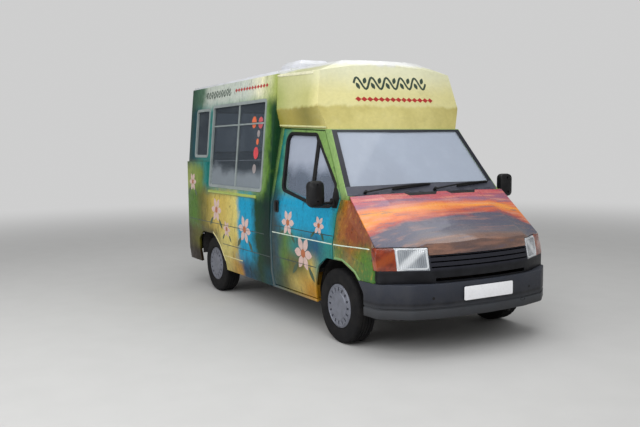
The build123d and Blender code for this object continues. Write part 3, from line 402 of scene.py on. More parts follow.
@dataclass(frozen=True)
class Pane(Finish):
    """Clear glass whose surface reflects a share of the light; the pale colour of that share is a painted
    reflection, stronger over a range of heights on some panes.
    """

    reflect: float = 0.1
    edge: float = 0.6
    veil: float = 0.0
    veil_z: Spot = (0.0, 1.0)
    through: Colour = (0.86, 0.92, 0.93, 1.0)

    def make(self) -> bpy.types.Material:
        """Build the material from a clear and a glossy part.

        Returns:
            The material.
        """
        material, graph, place = opened(self.name)
        smear_and_reflection = graph.noise(place, 5.0, 4.0).rise(0.4, 0.8) * 0.05
        # Painted reflection: a pale share that grows over a range of heights, with a ragged edge
        if self.veil:
            drift = (graph.noise(place, 2.5, 3.0) - 0.5) * 0.3
            smear_and_reflection = smear_and_reflection + (graph.parts(place)[2] + drift).rise(*self.veil_z) * self.veil
        facing = graph.node("ShaderNodeLayerWeight", {}, {"Blend": 0.25}, "Fresnel")
        share = smear_and_reflection + facing * self.edge + self.reflect
        clear = graph.node("ShaderNodeBsdfTransparent", {}, {"Color": self.through})
        gloss = graph.node("ShaderNodeBsdfPrincipled", {}, {
            "Base Color": self.colour, "Roughness": self.roughness, "Metallic": self.metallic})
        mixed = graph.node("ShaderNodeMixShader", {}, {0: share, 1: clear, 2: gloss})
        graph.node("ShaderNodeOutputMaterial", {}, {"Surface": mixed})
        return material


@dataclass(frozen=True)
class Fluted(Finish):
    """Moulded lamp lens with upright flutes."""

    pitch: float = 0.012
    axis: int = 1

    def height(self, graph: Graph, place: Port) -> Port:
        """Rounded flutes across the lens."""
        return (graph.parts(place)[self.axis] * (2 * math.pi / self.pitch)).math("SINE")

    def tint(self, graph: Graph, place: Port) -> Port:
        """Colour with painted shade in stripes along the flutes, and soft patches of the darker tone."""
        soft = graph.noise(place, self.patch, 2.0).rise(0.3, 0.7)
        return graph.blend(self.wave(graph, place) * 0.35 + soft * self.mottle, self.colour, self.tone)


@dataclass(frozen=True)
class Graded(Finish):
    """Surface whose colour follows one axis in wide soft bands."""

    axis: int = 2
    stops: Stops = ()

    def base(self, graph: Graph, place: Port) -> Port:
        """Bands along the axis."""
        value = graph.parts(place)[self.axis]
        return graph.ramp(value, self.stops[0][0] - 0.001, self.stops[-1][0] + 0.001, self.stops)


@dataclass(frozen=True)
class LampLens(Fluted):
    """Lamp lens with a bright slanting reflection over a grey reflector."""

    slope: float = 0.9
    centre: float = 0.8
    lamp_y: float = 0.65
    bright: Colour = (0.8, 0.8, 0.8, 1.0)

    def tint(self, graph: Graph, place: Port) -> Port:
        """Reflector colour, brighter along a slanting stripe on each side of the van.

        Args:
            graph: the material's graph.
            place: object coordinates.

        Returns:
            The colour.
        """
        base = super().tint(graph, place)
        _, y, z = graph.parts(place)
        slant = z - self.centre + (y.size() - self.lamp_y) * self.slope
        wide = slant.size().rise(0.055, 0.012)
        return graph.blend(wide * 0.8, base, self.bright)


@dataclass(frozen=True)
class Woven(Finish):
    """Seat cloth with a plain weave."""

    thread: float = 0.004

    def height(self, graph: Graph, place: Port) -> Port:
        """Threads over and under each other.

        Args:
            graph: the material's graph.
            place: object coordinates.

        Returns:
            The height.
        """
        x, y, z = graph.parts(place)
        turn = 2 * math.pi / self.thread
        return (y * turn).math("SINE") * ((x + z) * turn).math("SINE")

    def tint(self, graph: Graph, place: Port) -> Port:
        """Two thread colours and some wear."""
        worn = graph.noise(place, self.patch, 3.0).rise(0.45, 0.75)
        return graph.blend(self.wave(graph, place) * 0.4 + worn * self.mottle, self.colour, self.tone)


@dataclass(frozen=True)
class Brushwork(Finish):
    """Hand-brushed gloss paint: bands of colour with ragged, warped borders.

    rows holds for each level its stops of (ahead, colour); levels are the heights where rows meet. lining
    is the foot, half width and slope of a lined room inside, and lined_ahead its ends.
    """

    rows: tuple[Stops, ...] = ()
    levels: tuple[float, ...] = ()
    reach: Spot = (-3.8, 0.9)
    warp: float = 0.16
    stroke: Triple = (22.0, 22.0, 9.0)
    strength: float = 0.55
    blur: float = 0.09
    blurs: tuple[float, ...] = ()
    fine: float = 0.22
    mode: Mix = Mix.PLAIN
    light: Colour = rgb(196, 192, 112)
    dark: Colour = rgb(24, 44, 28)
    wash: Colour = rgb(60, 66, 58)
    lining: Triple = (1.2, 0.0, 0.0)
    lined_ahead: Spot = (-3.612, -1.285)
    edge: float = 0.002
    inner_x: float = 0.0

    def tint(self, graph: Graph, place: Port) -> Port:
        """Rows of colour patches, then strokes, over the whole surface.

        Args:
            graph: the material's graph.
            place: object coordinates.

        Returns:
            The colour.
        """
        x, _, z = graph.parts(place)
        drift = (graph.noise(place, 5.0, 5.0, 0.65) - 0.5) * (self.warp * 2)
        lift = (graph.noise(graph.scaled(place, (1.0, 1.0, 0.4)), 11.0, 4.0, 0.6) - 0.5) * self.warp
        along = x - AXLE + drift
        level = z + lift
        low, high = self.reach
        colour = graph.ramp(along, low, high, self.rows[0])
        blurs = self.blurs or (self.blur,) * len(self.levels)
        for border, blur, row in zip(self.levels, blurs, self.rows[1:]):
            upper = graph.ramp(along, low, high, row)
            colour = graph.blend(level.rise(border - blur, border + blur), colour, upper)
        strokes = graph.noise(graph.scaled(place, self.stroke), 1.0, 5.0, 0.65)
        colour = graph.blend(strokes.rise(0.52, 0.74) * self.strength * 0.55, colour, self.light, self.mode)
        colour = graph.blend(strokes.rise(0.46, 0.28) * self.strength, colour, self.dark)
        fine = graph.noise(graph.scaled(place, self.stroke), 5.0, 2.0).rise(0.3, 0.7)
        colour = graph.blend(fine * self.fine, colour, self.wash, Mix.DARKEN)
        if self.inner_x:
            return graph.blend(x.rise(self.inner_x - 0.001, self.inner_x + 0.001), colour, LINING)
        return self.lined(graph, place, colour) if self.lining[1] else colour

    def lined(self, graph: Graph, place: Port, colour: Port) -> Port:
        """Pale lining on the inner faces of the serving room.

        Args:
            graph: the material's graph.
            place: object coordinates.
            colour: colour elsewhere.

        Returns:
            The colour with the lining.
        """
        foot, wide, slope = self.lining
        rear, front = self.lined_ahead
        x, y, z = graph.parts(place)
        inside = (y.size() + (z - foot) * slope).rise(wide + self.edge, wide - self.edge)
        room = z.rise(foot - 0.2, foot - 0.19) * x.rise(AXLE + front + self.edge, AXLE + front)
        room = room * x.rise(AXLE + rear, AXLE + rear + self.edge)
        return graph.blend(inside * room, colour, LINING)

    def height(self, graph: Graph, place: Port) -> Port:
        """Ridges left by the brush."""
        return graph.noise(graph.scaled(place, self.stroke), 6.0, 3.0)


@dataclass(frozen=True)
class PanelPaint(Brushwork):
    """Thick brushwork of the large panels, with glowing strokes."""

    roughness: float = 0.4
    coat: float = 0.06
    depth: float = 0.00025
    grime: float = 0.35
    gleam: float = 0.22
    strength: float = 0.6
    mode: Mix = Mix.GLOW
    light: Colour = (0.5, 0.46, 0.2, 1.0)


@dataclass(frozen=True)
class DuskBands(Finish):
    """Bonnet paint: soft cross bands of warm and grey colour."""

    stops: Stops = ()
    streak_light: Colour = rgb(214, 150, 120)
    streak_dark: Colour = rgb(88, 86, 108)

    def tint(self, graph: Graph, place: Port) -> Port:
        """Bands across the van with brushed borders and thin streaks.

        Args:
            graph: the material's graph.
            place: object coordinates.

        Returns:
            The colour.
        """
        x, _, _ = graph.parts(place)
        cross = graph.scaled(place, (1.0, 0.22, 1.0))
        drift = (graph.noise(cross, 7.0, 5.0, 0.6) - 0.5) * 0.26
        colour = graph.ramp(x - AXLE + drift, 0.0, 0.9, self.stops)
        streak = graph.noise(graph.scaled(place, (26.0, 1.6, 26.0)), 1.0, 4.0, 0.6)
        glow = (x - AXLE + drift).rise(0.5, 0.36) * 0.35 + 0.2
        colour = graph.blend(streak.rise(0.5, 0.66) * glow, colour, self.streak_light)
        return graph.blend(streak.rise(0.46, 0.33) * 0.6, colour, self.streak_dark)


# Colours of the painted body, rear to front along each row
OCHRE = rgb(196, 172, 88)
STRAW = rgb(210, 196, 114)
GOLD = rgb(186, 134, 32)
UMBER = rgb(42, 29, 14)
OLIVE = rgb(96, 94, 34)
LEAF = rgb(76, 116, 30)
FOREST = rgb(18, 60, 34)
BOTTLE = rgb(8, 38, 32)
SKY = rgb(8, 148, 188)
DEEP_SKY = rgb(18, 74, 110)
TEAL = rgb(6, 62, 74)
LAGOON = rgb(34, 122, 118)
CREAM = rgb(222, 220, 190)
MINT = rgb(112, 150, 124)
LIME = rgb(116, 150, 82)
PALE = rgb(190, 198, 188)

# The darkest brown, low down towards the rear of the sides, is partly the van's paint and partly painted
# shade
SIDE_PAINT = PanelPaint(
    "side_paint", OCHRE,
    rows=(
        ((-3.7, UMBER), (-3.2, UMBER), (-2.6, OLIVE), (-2.44, STRAW), (-2.05, GOLD), (-1.9, DEEP_SKY),
         (-1.66, TEAL), (-1.5, FOREST), (-1.3, TEAL)),
        ((-3.7, UMBER), (-3.3, OLIVE), (-2.75, UMBER), (-2.5, STRAW), (-2.3, STRAW), (-2.12, OCHRE),
         (-2.0, SKY), (-1.72, SKY), (-1.56, FOREST), (-1.3, BOTTLE)),
        ((-3.7, LEAF), (-3.35, LEAF), (-3.1, OLIVE), (-2.7, OCHRE), (-2.4, OCHRE), (-2.1, STRAW),
         (-1.98, SKY), (-1.72, SKY), (-1.56, FOREST), (-1.34, BOTTLE)),
        ((-3.7, rgb(158, 168, 84)), (-3.4, rgb(136, 156, 70)), (-3.12, rgb(104, 126, 54)),
         (-2.98, LAGOON), (-2.3, MINT), (-1.46, LIME), (-1.36, LEAF), (-1.28, FOREST)),
        ((-3.7, FOREST), (-3.5, TEAL), (-3.2, LAGOON), (-2.9, LAGOON), (-2.3, MINT), (-1.46, LIME),
         (-1.36, LEAF), (-1.28, FOREST)),
        ((-3.7, FOREST), (-3.5, rgb(44, 88, 66)), (-3.3, rgb(78, 112, 88)), (-3.1, PALE), (-2.0, PALE),
         (-1.6, CREAM), (-1.3, rgb(160, 172, 96))),
    ),
    levels=(0.47, 0.74, 1.2, 1.5, 2.18), lining=(1.24, 0.934, 0.0927),
)
REAR_PAINT = PanelPaint(
    "rear_paint", LEAF, warp=0.2, inner_x=AXLE - 3.62,
    rows=(
        ((-3.8, UMBER), (-3.55, OLIVE)),
        ((-3.8, UMBER), (-3.68, OLIVE), (-3.6, OCHRE), (-3.5, STRAW)),
        ((-3.8, OCHRE), (-3.68, LEAF), (-3.58, OLIVE), (-3.5, LAGOON)),
        ((-3.8, LEAF), (-3.66, LAGOON), (-3.5, MINT)),
        ((-3.8, FOREST), (-3.66, TEAL), (-3.56, LAGOON)),
        ((-3.8, LAGOON), (-3.7, PALE), (-3.5, PALE)),
    ),
    levels=(0.47, 0.8, 1.24, 1.56, 2.2),
)
DOOR_PAINT = PanelPaint(
    "door_paint", SKY, roughness=0.38, coat=0.1, gleam=0.25, grime=0.25, warp=0.12,
    rows=(
        ((-1.25, TEAL), (-1.06, FOREST), (-0.9, OLIVE), (-0.7, OCHRE), (-0.45, GOLD), (-0.2, GOLD)),
        ((-1.25, BOTTLE), (-1.08, TEAL), (-0.95, LEAF), (-0.8, OLIVE), (-0.6, OLIVE), (-0.4, OCHRE),
         (-0.25, LAGOON)),
        ((-1.25, BOTTLE), (-1.08, TEAL), (-0.92, LEAF), (-0.72, LAGOON), (-0.3, DEEP_SKY), (-0.12, LAGOON)),
        ((-1.25, BOTTLE), (-1.12, TEAL), (-0.98, SKY), (-0.3, SKY), (-0.14, SKY), (-0.04, LAGOON)),
        ((-1.25, FOREST), (-1.14, LAGOON), (-1.0, LIME), (-0.6, LIME), (-0.3, LIME), (-0.05, LIME)),
    ),
    levels=(0.5, 0.7, 0.92, 1.27),
)
WING_PAINT = Brushwork(
    "wing_paint", OCHRE, roughness=0.32, coat=0.3, depth=0.00025, grime=0.2, warp=0.14,
    stroke=(40.0, 40.0, 18.0), strength=0.95,
    light=rgb(198, 148, 44), dark=rgb(40, 24, 14),
    rows=(
        ((-0.1, LAGOON), (0.08, MINT), (0.25, LEAF), (0.42, rgb(50, 108, 22)), (0.6, rgb(66, 124, 30))),
        ((-0.1, LAGOON), (0.02, LEAF), (0.12, OLIVE), (0.25, rgb(132, 98, 28)), (0.4, LEAF), (0.55, LEAF)),
        ((-0.1, FOREST), (-0.02, OLIVE), (0.06, rgb(150, 96, 28)), (0.16, rgb(132, 62, 26)),
         (0.5, rgb(120, 62, 34))),
    ),
    levels=(0.7, 0.86),
)
CAB_PAINT = Brushwork(
    "cab_paint", LIME, roughness=0.32, coat=0.3, warp=0.06, strength=0.3,
    rows=(
        ((-1.3, BOTTLE), (-1.2, TEAL), (-0.9, OLIVE), (-0.3, GOLD)),
        ((-1.3, BOTTLE), (-1.22, TEAL), (-1.0, LAGOON), (-0.1, LAGOON), (0.0, OLIVE)),
        ((-1.3, FOREST), (-1.16, LIME), (-0.4, rgb(132, 166, 96)), (0.1, rgb(132, 166, 96))),
    ),
    levels=(0.7, 1.25),
)
DOME_PAINT = Brushwork(
    "sign_paint", CREAM, roughness=0.42, coat=0.2, warp=0.08, strength=0.16, fine=0.06,
    stroke=(5.0, 5.0, 8.0), light=rgb(226, 222, 184), dark=rgb(150, 146, 82),
    rows=(
        ((-1.3, rgb(148, 142, 62)), (-1.0, rgb(164, 150, 66)), (-0.75, rgb(130, 122, 48)),
         (-0.55, rgb(168, 156, 78)), (-0.4, rgb(216, 206, 134))),
        ((-1.3, rgb(150, 162, 84)), (-1.0, rgb(186, 186, 124)), (-0.7, rgb(184, 182, 116)),
         (-0.54, rgb(218, 211, 148)), (-0.4, rgb(220, 214, 156))),
        ((-1.3, rgb(178, 182, 124)), (-0.8, rgb(196, 196, 152)), (-0.35, rgb(234, 234, 208))),
        ((-1.3, rgb(214, 216, 216)), (-0.35, rgb(218, 219, 216))),
    ),
    levels=(2.07, 2.3, 2.465), blurs=(0.02, 0.15, 0.02),
)
BONNET_PAINT = DuskBands(
    "bonnet_paint", OCHRE, roughness=0.28, coat=0.35, depth=0.00015,
    stops=((0.08, rgb(170, 66, 82)), (0.15, rgb(184, 80, 88)), (0.2, rgb(138, 92, 116)),
           (0.25, rgb(206, 104, 68)), (0.31, rgb(230, 148, 44)), (0.37, rgb(214, 112, 54)),
           (0.42, rgb(164, 68, 60)), (0.46, rgb(82, 78, 96)), (0.57, rgb(80, 82, 98)),
           (0.66, rgb(100, 94, 100)), (0.74, rgb(118, 90, 78)), (0.82, rgb(88, 76, 78))),
)
GEL_COAT = Finish("gel_coat", rgb(212, 214, 220), rgb(166, 168, 158), 0.35, 5.0, 0.4, coat=0.2)
# Bumper bands along the height: the darkest near z 0.44 is painted shadow in the bumper's groove, the palest
# near 0.39 painted light on its lower lip
BUMPER_PLASTIC_AND_SHADE = Graded(
    "bumper_plastic", rgb(40, 44, 52), rgb(64, 66, 72), 0.35, 9.0, 0.5, 0.12, grain=700, grime=0.2,
    gleam=0.3,
    stops=((0.33, rgb(48, 50, 54)), (0.39, rgb(62, 65, 70)), (0.425, rgb(40, 43, 50)),
           (0.44, rgb(22, 24, 30)), (0.46, rgb(38, 41, 50)), (0.59, rgb(50, 54, 64))))
GRILLE_PLASTIC = Graded(
    "grille_plastic", rgb(24, 26, 32), rgb(44, 46, 52), 0.3, 12.0, 0.5, 0.12, grain=700, gleam=0.3,
    stops=((0.6, rgb(12, 13, 18)), (0.69, rgb(14, 15, 20)), (0.72, rgb(34, 35, 44)),
           (0.82, rgb(36, 37, 46))))
BLACK_PLASTIC = Finish("black_plastic", rgb(16, 16, 18), rgb(36, 36, 38), 0.4, 12.0, 0.48,
                       grain=900, gleam=0.3)
RUBBER = Finish("seal_rubber", rgb(14, 14, 15), rgb(32, 31, 30), 0.5, 14.0, 0.6, grain=600, gleam=0.3)
SCREEN_BAND = Finish("screen_band", rgb(30, 32, 42), rgb(44, 46, 56), 0.4, 14.0, 0.35,
                     grain=600, gleam=0.4)
COWL = Finish("cowl_grey", rgb(72, 74, 86), rgb(92, 94, 100), 0.4, 12.0, 0.45, grain=700, gleam=0.4)
TYRE_RUBBER = Finish("tyre_rubber", rgb(20, 20, 22), rgb(40, 38, 36), 0.5, 10.0, 0.82, 0.08,
                     grain=500, depth=0.0003, gleam=0.2)
TRIM_SILVER = Finish("trim_silver", rgb(116, 119, 130), rgb(82, 84, 92), 0.5, 14.0, 0.42, 0.12, 0.3)
ANODISED = Finish("anodised_frame", rgb(162, 172, 171), rgb(122, 132, 132), 0.4, 10.0, 0.38, 0.1, 0.4)
CAST = Finish("cast_metal", rgb(58, 54, 50), rgb(96, 66, 44), 0.6, 10.0, 0.75, metallic=0.4,
              grain=260, depth=0.0006)
DULL_STEEL = Finish("dull_steel", rgb(120, 114, 106), rgb(92, 66, 48), 0.6, 8.0, 0.5, metallic=0.8)
STEEL = Finish("machine_steel", rgb(190, 192, 194), rgb(150, 152, 156), 0.35, 6.0, 0.3, metallic=0.85)
UNDERSEAL = Finish("underseal", rgb(34, 33, 33), rgb(60, 54, 46), 0.6, 5.0, 0.8, grain=120, depth=0.001)
LAMINATE = Finish("laminate", rgb(212, 222, 228), rgb(176, 190, 198), 0.4, 4.0, 0.35)
WHITE_PLATE = Finish("plate_white", rgb(244, 245, 249), rgb(226, 226, 226), 0.3, 14.0, 0.3, coat=0.3)
YELLOW_PLATE = Finish("plate_yellow", rgb(222, 182, 44), rgb(196, 158, 40), 0.3, 14.0, 0.3, coat=0.3)
SEAT_CLOTH = Woven("seat_cloth", rgb(34, 34, 40), rgb(66, 66, 76), 0.3, 9.0, 0.9, 0.05, depth=0.0004)
LAMP_LENS = LampLens("lamp_lens", rgb(186, 192, 198), rgb(112, 118, 126), 0.5, 9.0, 0.12, 0.04, 0.2,
                     1.0, depth=0.0012, pitch=0.014, bright=rgb(238, 242, 246))
ORANGE_LENS = LampLens("orange_lens", rgb(152, 54, 13), rgb(88, 28, 8), 0.6, 14.0, 0.15, 0.04,
                       coat=1.0, depth=0.001, pitch=0.009, centre=0.9, slope=0.6, bright=rgb(158, 70, 18))
RED_LENS = Fluted("red_lens", rgb(176, 24, 20), rgb(84, 8, 8), 0.5, 14.0, 0.15, 0.04, coat=1.0,
                  depth=0.001, pitch=0.009)
# The pale colour that each pane shows in its glossy share is a painted reflection.
SCREEN_GLASS = Pane("screen_glass", rgb(196, 204, 220), roughness=0.06, reflect=0.5, edge=0.4)
SIDE_GLASS = Pane("side_glass", rgb(150, 160, 168), roughness=0.04, reflect=0.06, edge=0.25,
                  through=(0.45, 0.48, 0.52, 1.0), veil=0.55, veil_z=(1.52, 1.38))
DOOR_GLASS = Pane("door_glass", rgb(176, 184, 200), roughness=0.04, reflect=0.06, edge=0.3,
                  through=(0.8, 0.84, 0.88, 1.0), veil=0.6, veil_z=(1.38, 1.58))
MIRROR_GLASS = Finish("mirror_glass", rgb(200, 206, 210), rgb(180, 186, 190), 0.2, 4.0, 0.06, 0.02,
                      1.0)


def enamel(name: str, colour: Colour) -> Finish:
    """Plain signwriter's enamel in one colour."""
    shade = (*(part * 0.6 for part in colour[:3]), 1.0)
    return Finish(name, colour, shade, 0.5, 24.0, 0.35, 0.1, coat=0.3, grain=240.0, depth=0.0003)


SWAGE_SHADOW = enamel("swage_shadow", rgb(28, 52, 50))
# Pale line along the rear arch's lip and the knee crease: painted highlight
CREASE_HIGHLIGHT = enamel("crease_paint", rgb(212, 202, 142))
# Yellow-green of the ledge under the serving windows: partly its paint, partly painted highlight
LEDGE_PAINT_AND_HIGHLIGHT = enamel("ledge_paint", rgb(160, 176, 78))
RAIL_PAINT = enamel("rail_paint", rgb(206, 206, 150))
MOULDING_PAINT = enamel("moulding_paint", rgb(220, 218, 186))
# Pale line along the waist crease of doors and wings: painted highlight
WAIST_HIGHLIGHT = enamel("trim_line_paint", rgb(206, 220, 206))
# Pale green line along the front wheel arch's lip: painted highlight
LIP_HIGHLIGHT = enamel("lip_paint", rgb(120, 158, 96))
PETALS_PAINT = enamel("petals_paint", rgb(206, 176, 168))
HEARTS_PAINT = enamel("hearts_paint", rgb(172, 92, 40))
LEAVES_PAINT = enamel("leaves_paint", rgb(40, 70, 36))
RED_ENAMEL = enamel("red_enamel", rgb(178, 44, 40))
GREEN_ENAMEL = enamel("green_enamel", rgb(54, 72, 60))
PRESS_SHADOW = enamel("press_shadow", rgb(132, 62, 70))
LAMP_RIM = enamel("lamp_rim", rgb(206, 210, 214))
# Kind, paint and thickness of a flower's petals, heart and leaves
FLOWER_PARTS = (("petals", PETALS_PAINT, 0.0008), ("hearts", HEARTS_PAINT, 0.0016),
                ("leaves", LEAVES_PAINT, 0.0008))
STICKER_PAINTS = (enamel("sticker_orange", rgb(222, 104, 60)), enamel("sticker_pink", rgb(200, 84, 90)),
                  enamel("sticker_red", rgb(206, 62, 70)), enamel("sticker_grey", rgb(150, 140, 140)))


@functools.cache
def dressed(finish: Finish) -> bpy.types.Material:
    """The material of a finish, made once."""
    return finish.make()


# Meshes


def placed(name: str, data: Any) -> Piece:
    """Put a new object in the scene.

    Args:
        name: its name.
        data: its mesh, lamp or camera.

    Returns:
        The object.
    """
    thing = bpy.data.objects.new(name, data)
    bpy.context.scene.collection.objects.link(thing)
    return thing


class Shape:
    """A mesh being made: corners, and faces over them."""

    def __init__(self) -> None:
        """Start empty."""
        self.points: list[Vector] = []
        self.faces: list[tuple[int, ...]] = []

    def add(self, points: Iterable[Vector], faces: Iterable[Sequence[int]]) -> Shape:
        """Append corners and faces.

        Args:
            points: new corners.
            faces: corner numbers, counted from the first new one.

        Returns:
            The shape itself.
        """
        first = len(self.points)
        self.points += [Vector(point) for point in points]
        self.faces += [tuple(first + index for index in face) for face in faces]
        return self

    def join(self, part: Shape) -> Shape:
        """Append another shape."""
        return self.add(part.points, part.faces)

    def skin(self, rings: Sequence[Sequence[Vector]], closed: bool = False) -> Shape:
        """Join rings of corners, with end caps unless the last meets the first.

        Args:
            rings: equal lists of corners, each a closed outline.
            closed: whether the rings go round.

        Returns:
            The shape itself.
        """
        count, size = len(rings), len(rings[0])
        faces: list[Sequence[int]] = []
        for ring in range(count if closed else count - 1):
            after = (ring + 1) % count
            here, there = ring * size, after * size
            for spot in range(size):
                step = (spot + 1) % size
                faces.append((here + spot, here + step, there + step, there + spot))
        if not closed:
            faces.append(tuple(range(size)))
            faces.append(tuple(range((count - 1) * size, count * size)))
        return self.add([point for ring in rings for point in ring], faces)

    def prism(self, outline: Sequence[Vector], travel: Vector) -> Shape:
        """Solid between an outline and its moved copy."""
        return self.skin([outline, [point + travel for point in outline]])

    def block(self, low: Vector, high: Vector) -> Shape:
        """Upright box between two corners."""
        corners = ((low.x, low.y), (high.x, low.y), (high.x, high.y), (low.x, high.y))
        return self.prism([Vector((x, y, low.z)) for x, y in corners], Vector((0, 0, high.z - low.z)))

    def sweep(self, path: Sequence[Vector], ups: Sequence[Vector], section: Flat) -> Shape:
        """Carry a section along a path.

        Args:
            path: points to follow.
            ups: direction of the section's second axis at each point.
            section: outline of (across, up).

        Returns:
            The shape itself.
        """
        rings = []
        for index, point in enumerate(path):
            before, after = path[max(index - 1, 0)], path[min(index + 1, len(path) - 1)]
            way = (after - before).normalized()
            up = (ups[index] - way * ups[index].dot(way)).normalized()
            across = way.cross(up)
            rings.append([point + across * u + up * v for u, v in section])
        return self.skin(rings)

    def tube(self, path: Sequence[Vector], radius: float, sides: int = 10) -> Shape:
        """Round bar along a path.

        Args:
            path: points to follow.
            radius: half its thickness.
            sides: corners around.

        Returns:
            The shape itself.
        """
        way = path[1] - path[0]
        up = Vector((0, 0, 1)) if abs(way.normalized().z) < 0.9 else Vector((1, 0, 0))
        return self.sweep(path, [up] * len(path), ellipse((0.0, 0.0), radius, radius, sides))

    def mirrored(self) -> Shape:
        """The same shape on the van's other side."""
        points = [Vector((point.x, -point.y, point.z)) for point in self.points]
        return Shape().add(points, [tuple(reversed(face)) for face in self.faces])

    def object(self, name: str, finish: Finish, bevel: float = 0.0,
               angle: float = CRISP_DEGREES) -> Piece:
        """Finish the mesh as an object.

        Args:
            name: the object's name.
            finish: its surface.
            bevel: width of rounded edges, or 0.
            angle: edges sharper than this stay crisp or are rounded, in degrees.

        Returns:
            The object, its place in its mesh.
        """
        mesh = bpy.data.meshes.new(name)
        mesh.from_pydata([tuple(point) for point in self.points], [], self.faces)
        form = bmesh.new()
        form.from_mesh(mesh)
        bmesh.ops.remove_doubles(form, verts=form.verts, dist=1e-6)
        bmesh.ops.recalc_face_normals(form, faces=form.faces)
        form.to_mesh(mesh)
        form.free()
        return finished(placed(name, mesh), finish, bevel, angle)


def finished(thing: Piece, finish: Finish, bevel: float, angle: float,
             levels: int = 0) -> Piece:
    """Round edges or subdivide, bake that into the mesh and give it its surface.

    Args:
        thing: object with a closed mesh.
        finish: its surface.
        bevel: width of rounded edges, or 0.
        angle: angle above which edges are rounded and shaded crisp, in degrees.
        levels: subdivision levels.

    Returns:
        The same object with a plain mesh.
    """
    if bevel:
        rounding = thing.modifiers.new("rounding", "BEVEL")
        rounding.width = bevel
        rounding.segments = 3
        rounding.limit_method = "ANGLE"
        rounding.angle_limit = math.radians(angle)
        rounding.use_clamp_overlap = True
    if levels:
        smoothing = thing.modifiers.new("smoothing", "SUBSURF")
        smoothing.levels = levels
        smoothing.render_levels = levels
    if thing.modifiers:
        bake(thing)
    thing.data.materials.clear()
    thing.data.materials.append(dressed(finish))
    thing.data.shade_smooth()
    thing.data.set_sharp_from_angle(angle=math.radians(angle))
    return thing


def bake(thing: Piece) -> None:
    """Replace an object's mesh by its modifiers' result and drop the modifiers.

    Args:
        thing: the object.
    """
    bpy.context.view_layer.update()
    view = bpy.context.evaluated_depsgraph_get()
    mesh = bpy.data.meshes.new_from_object(thing.evaluated_get(view), depsgraph=view)
    mesh.name = thing.name
    thing.modifiers.clear()
    thing.data = mesh


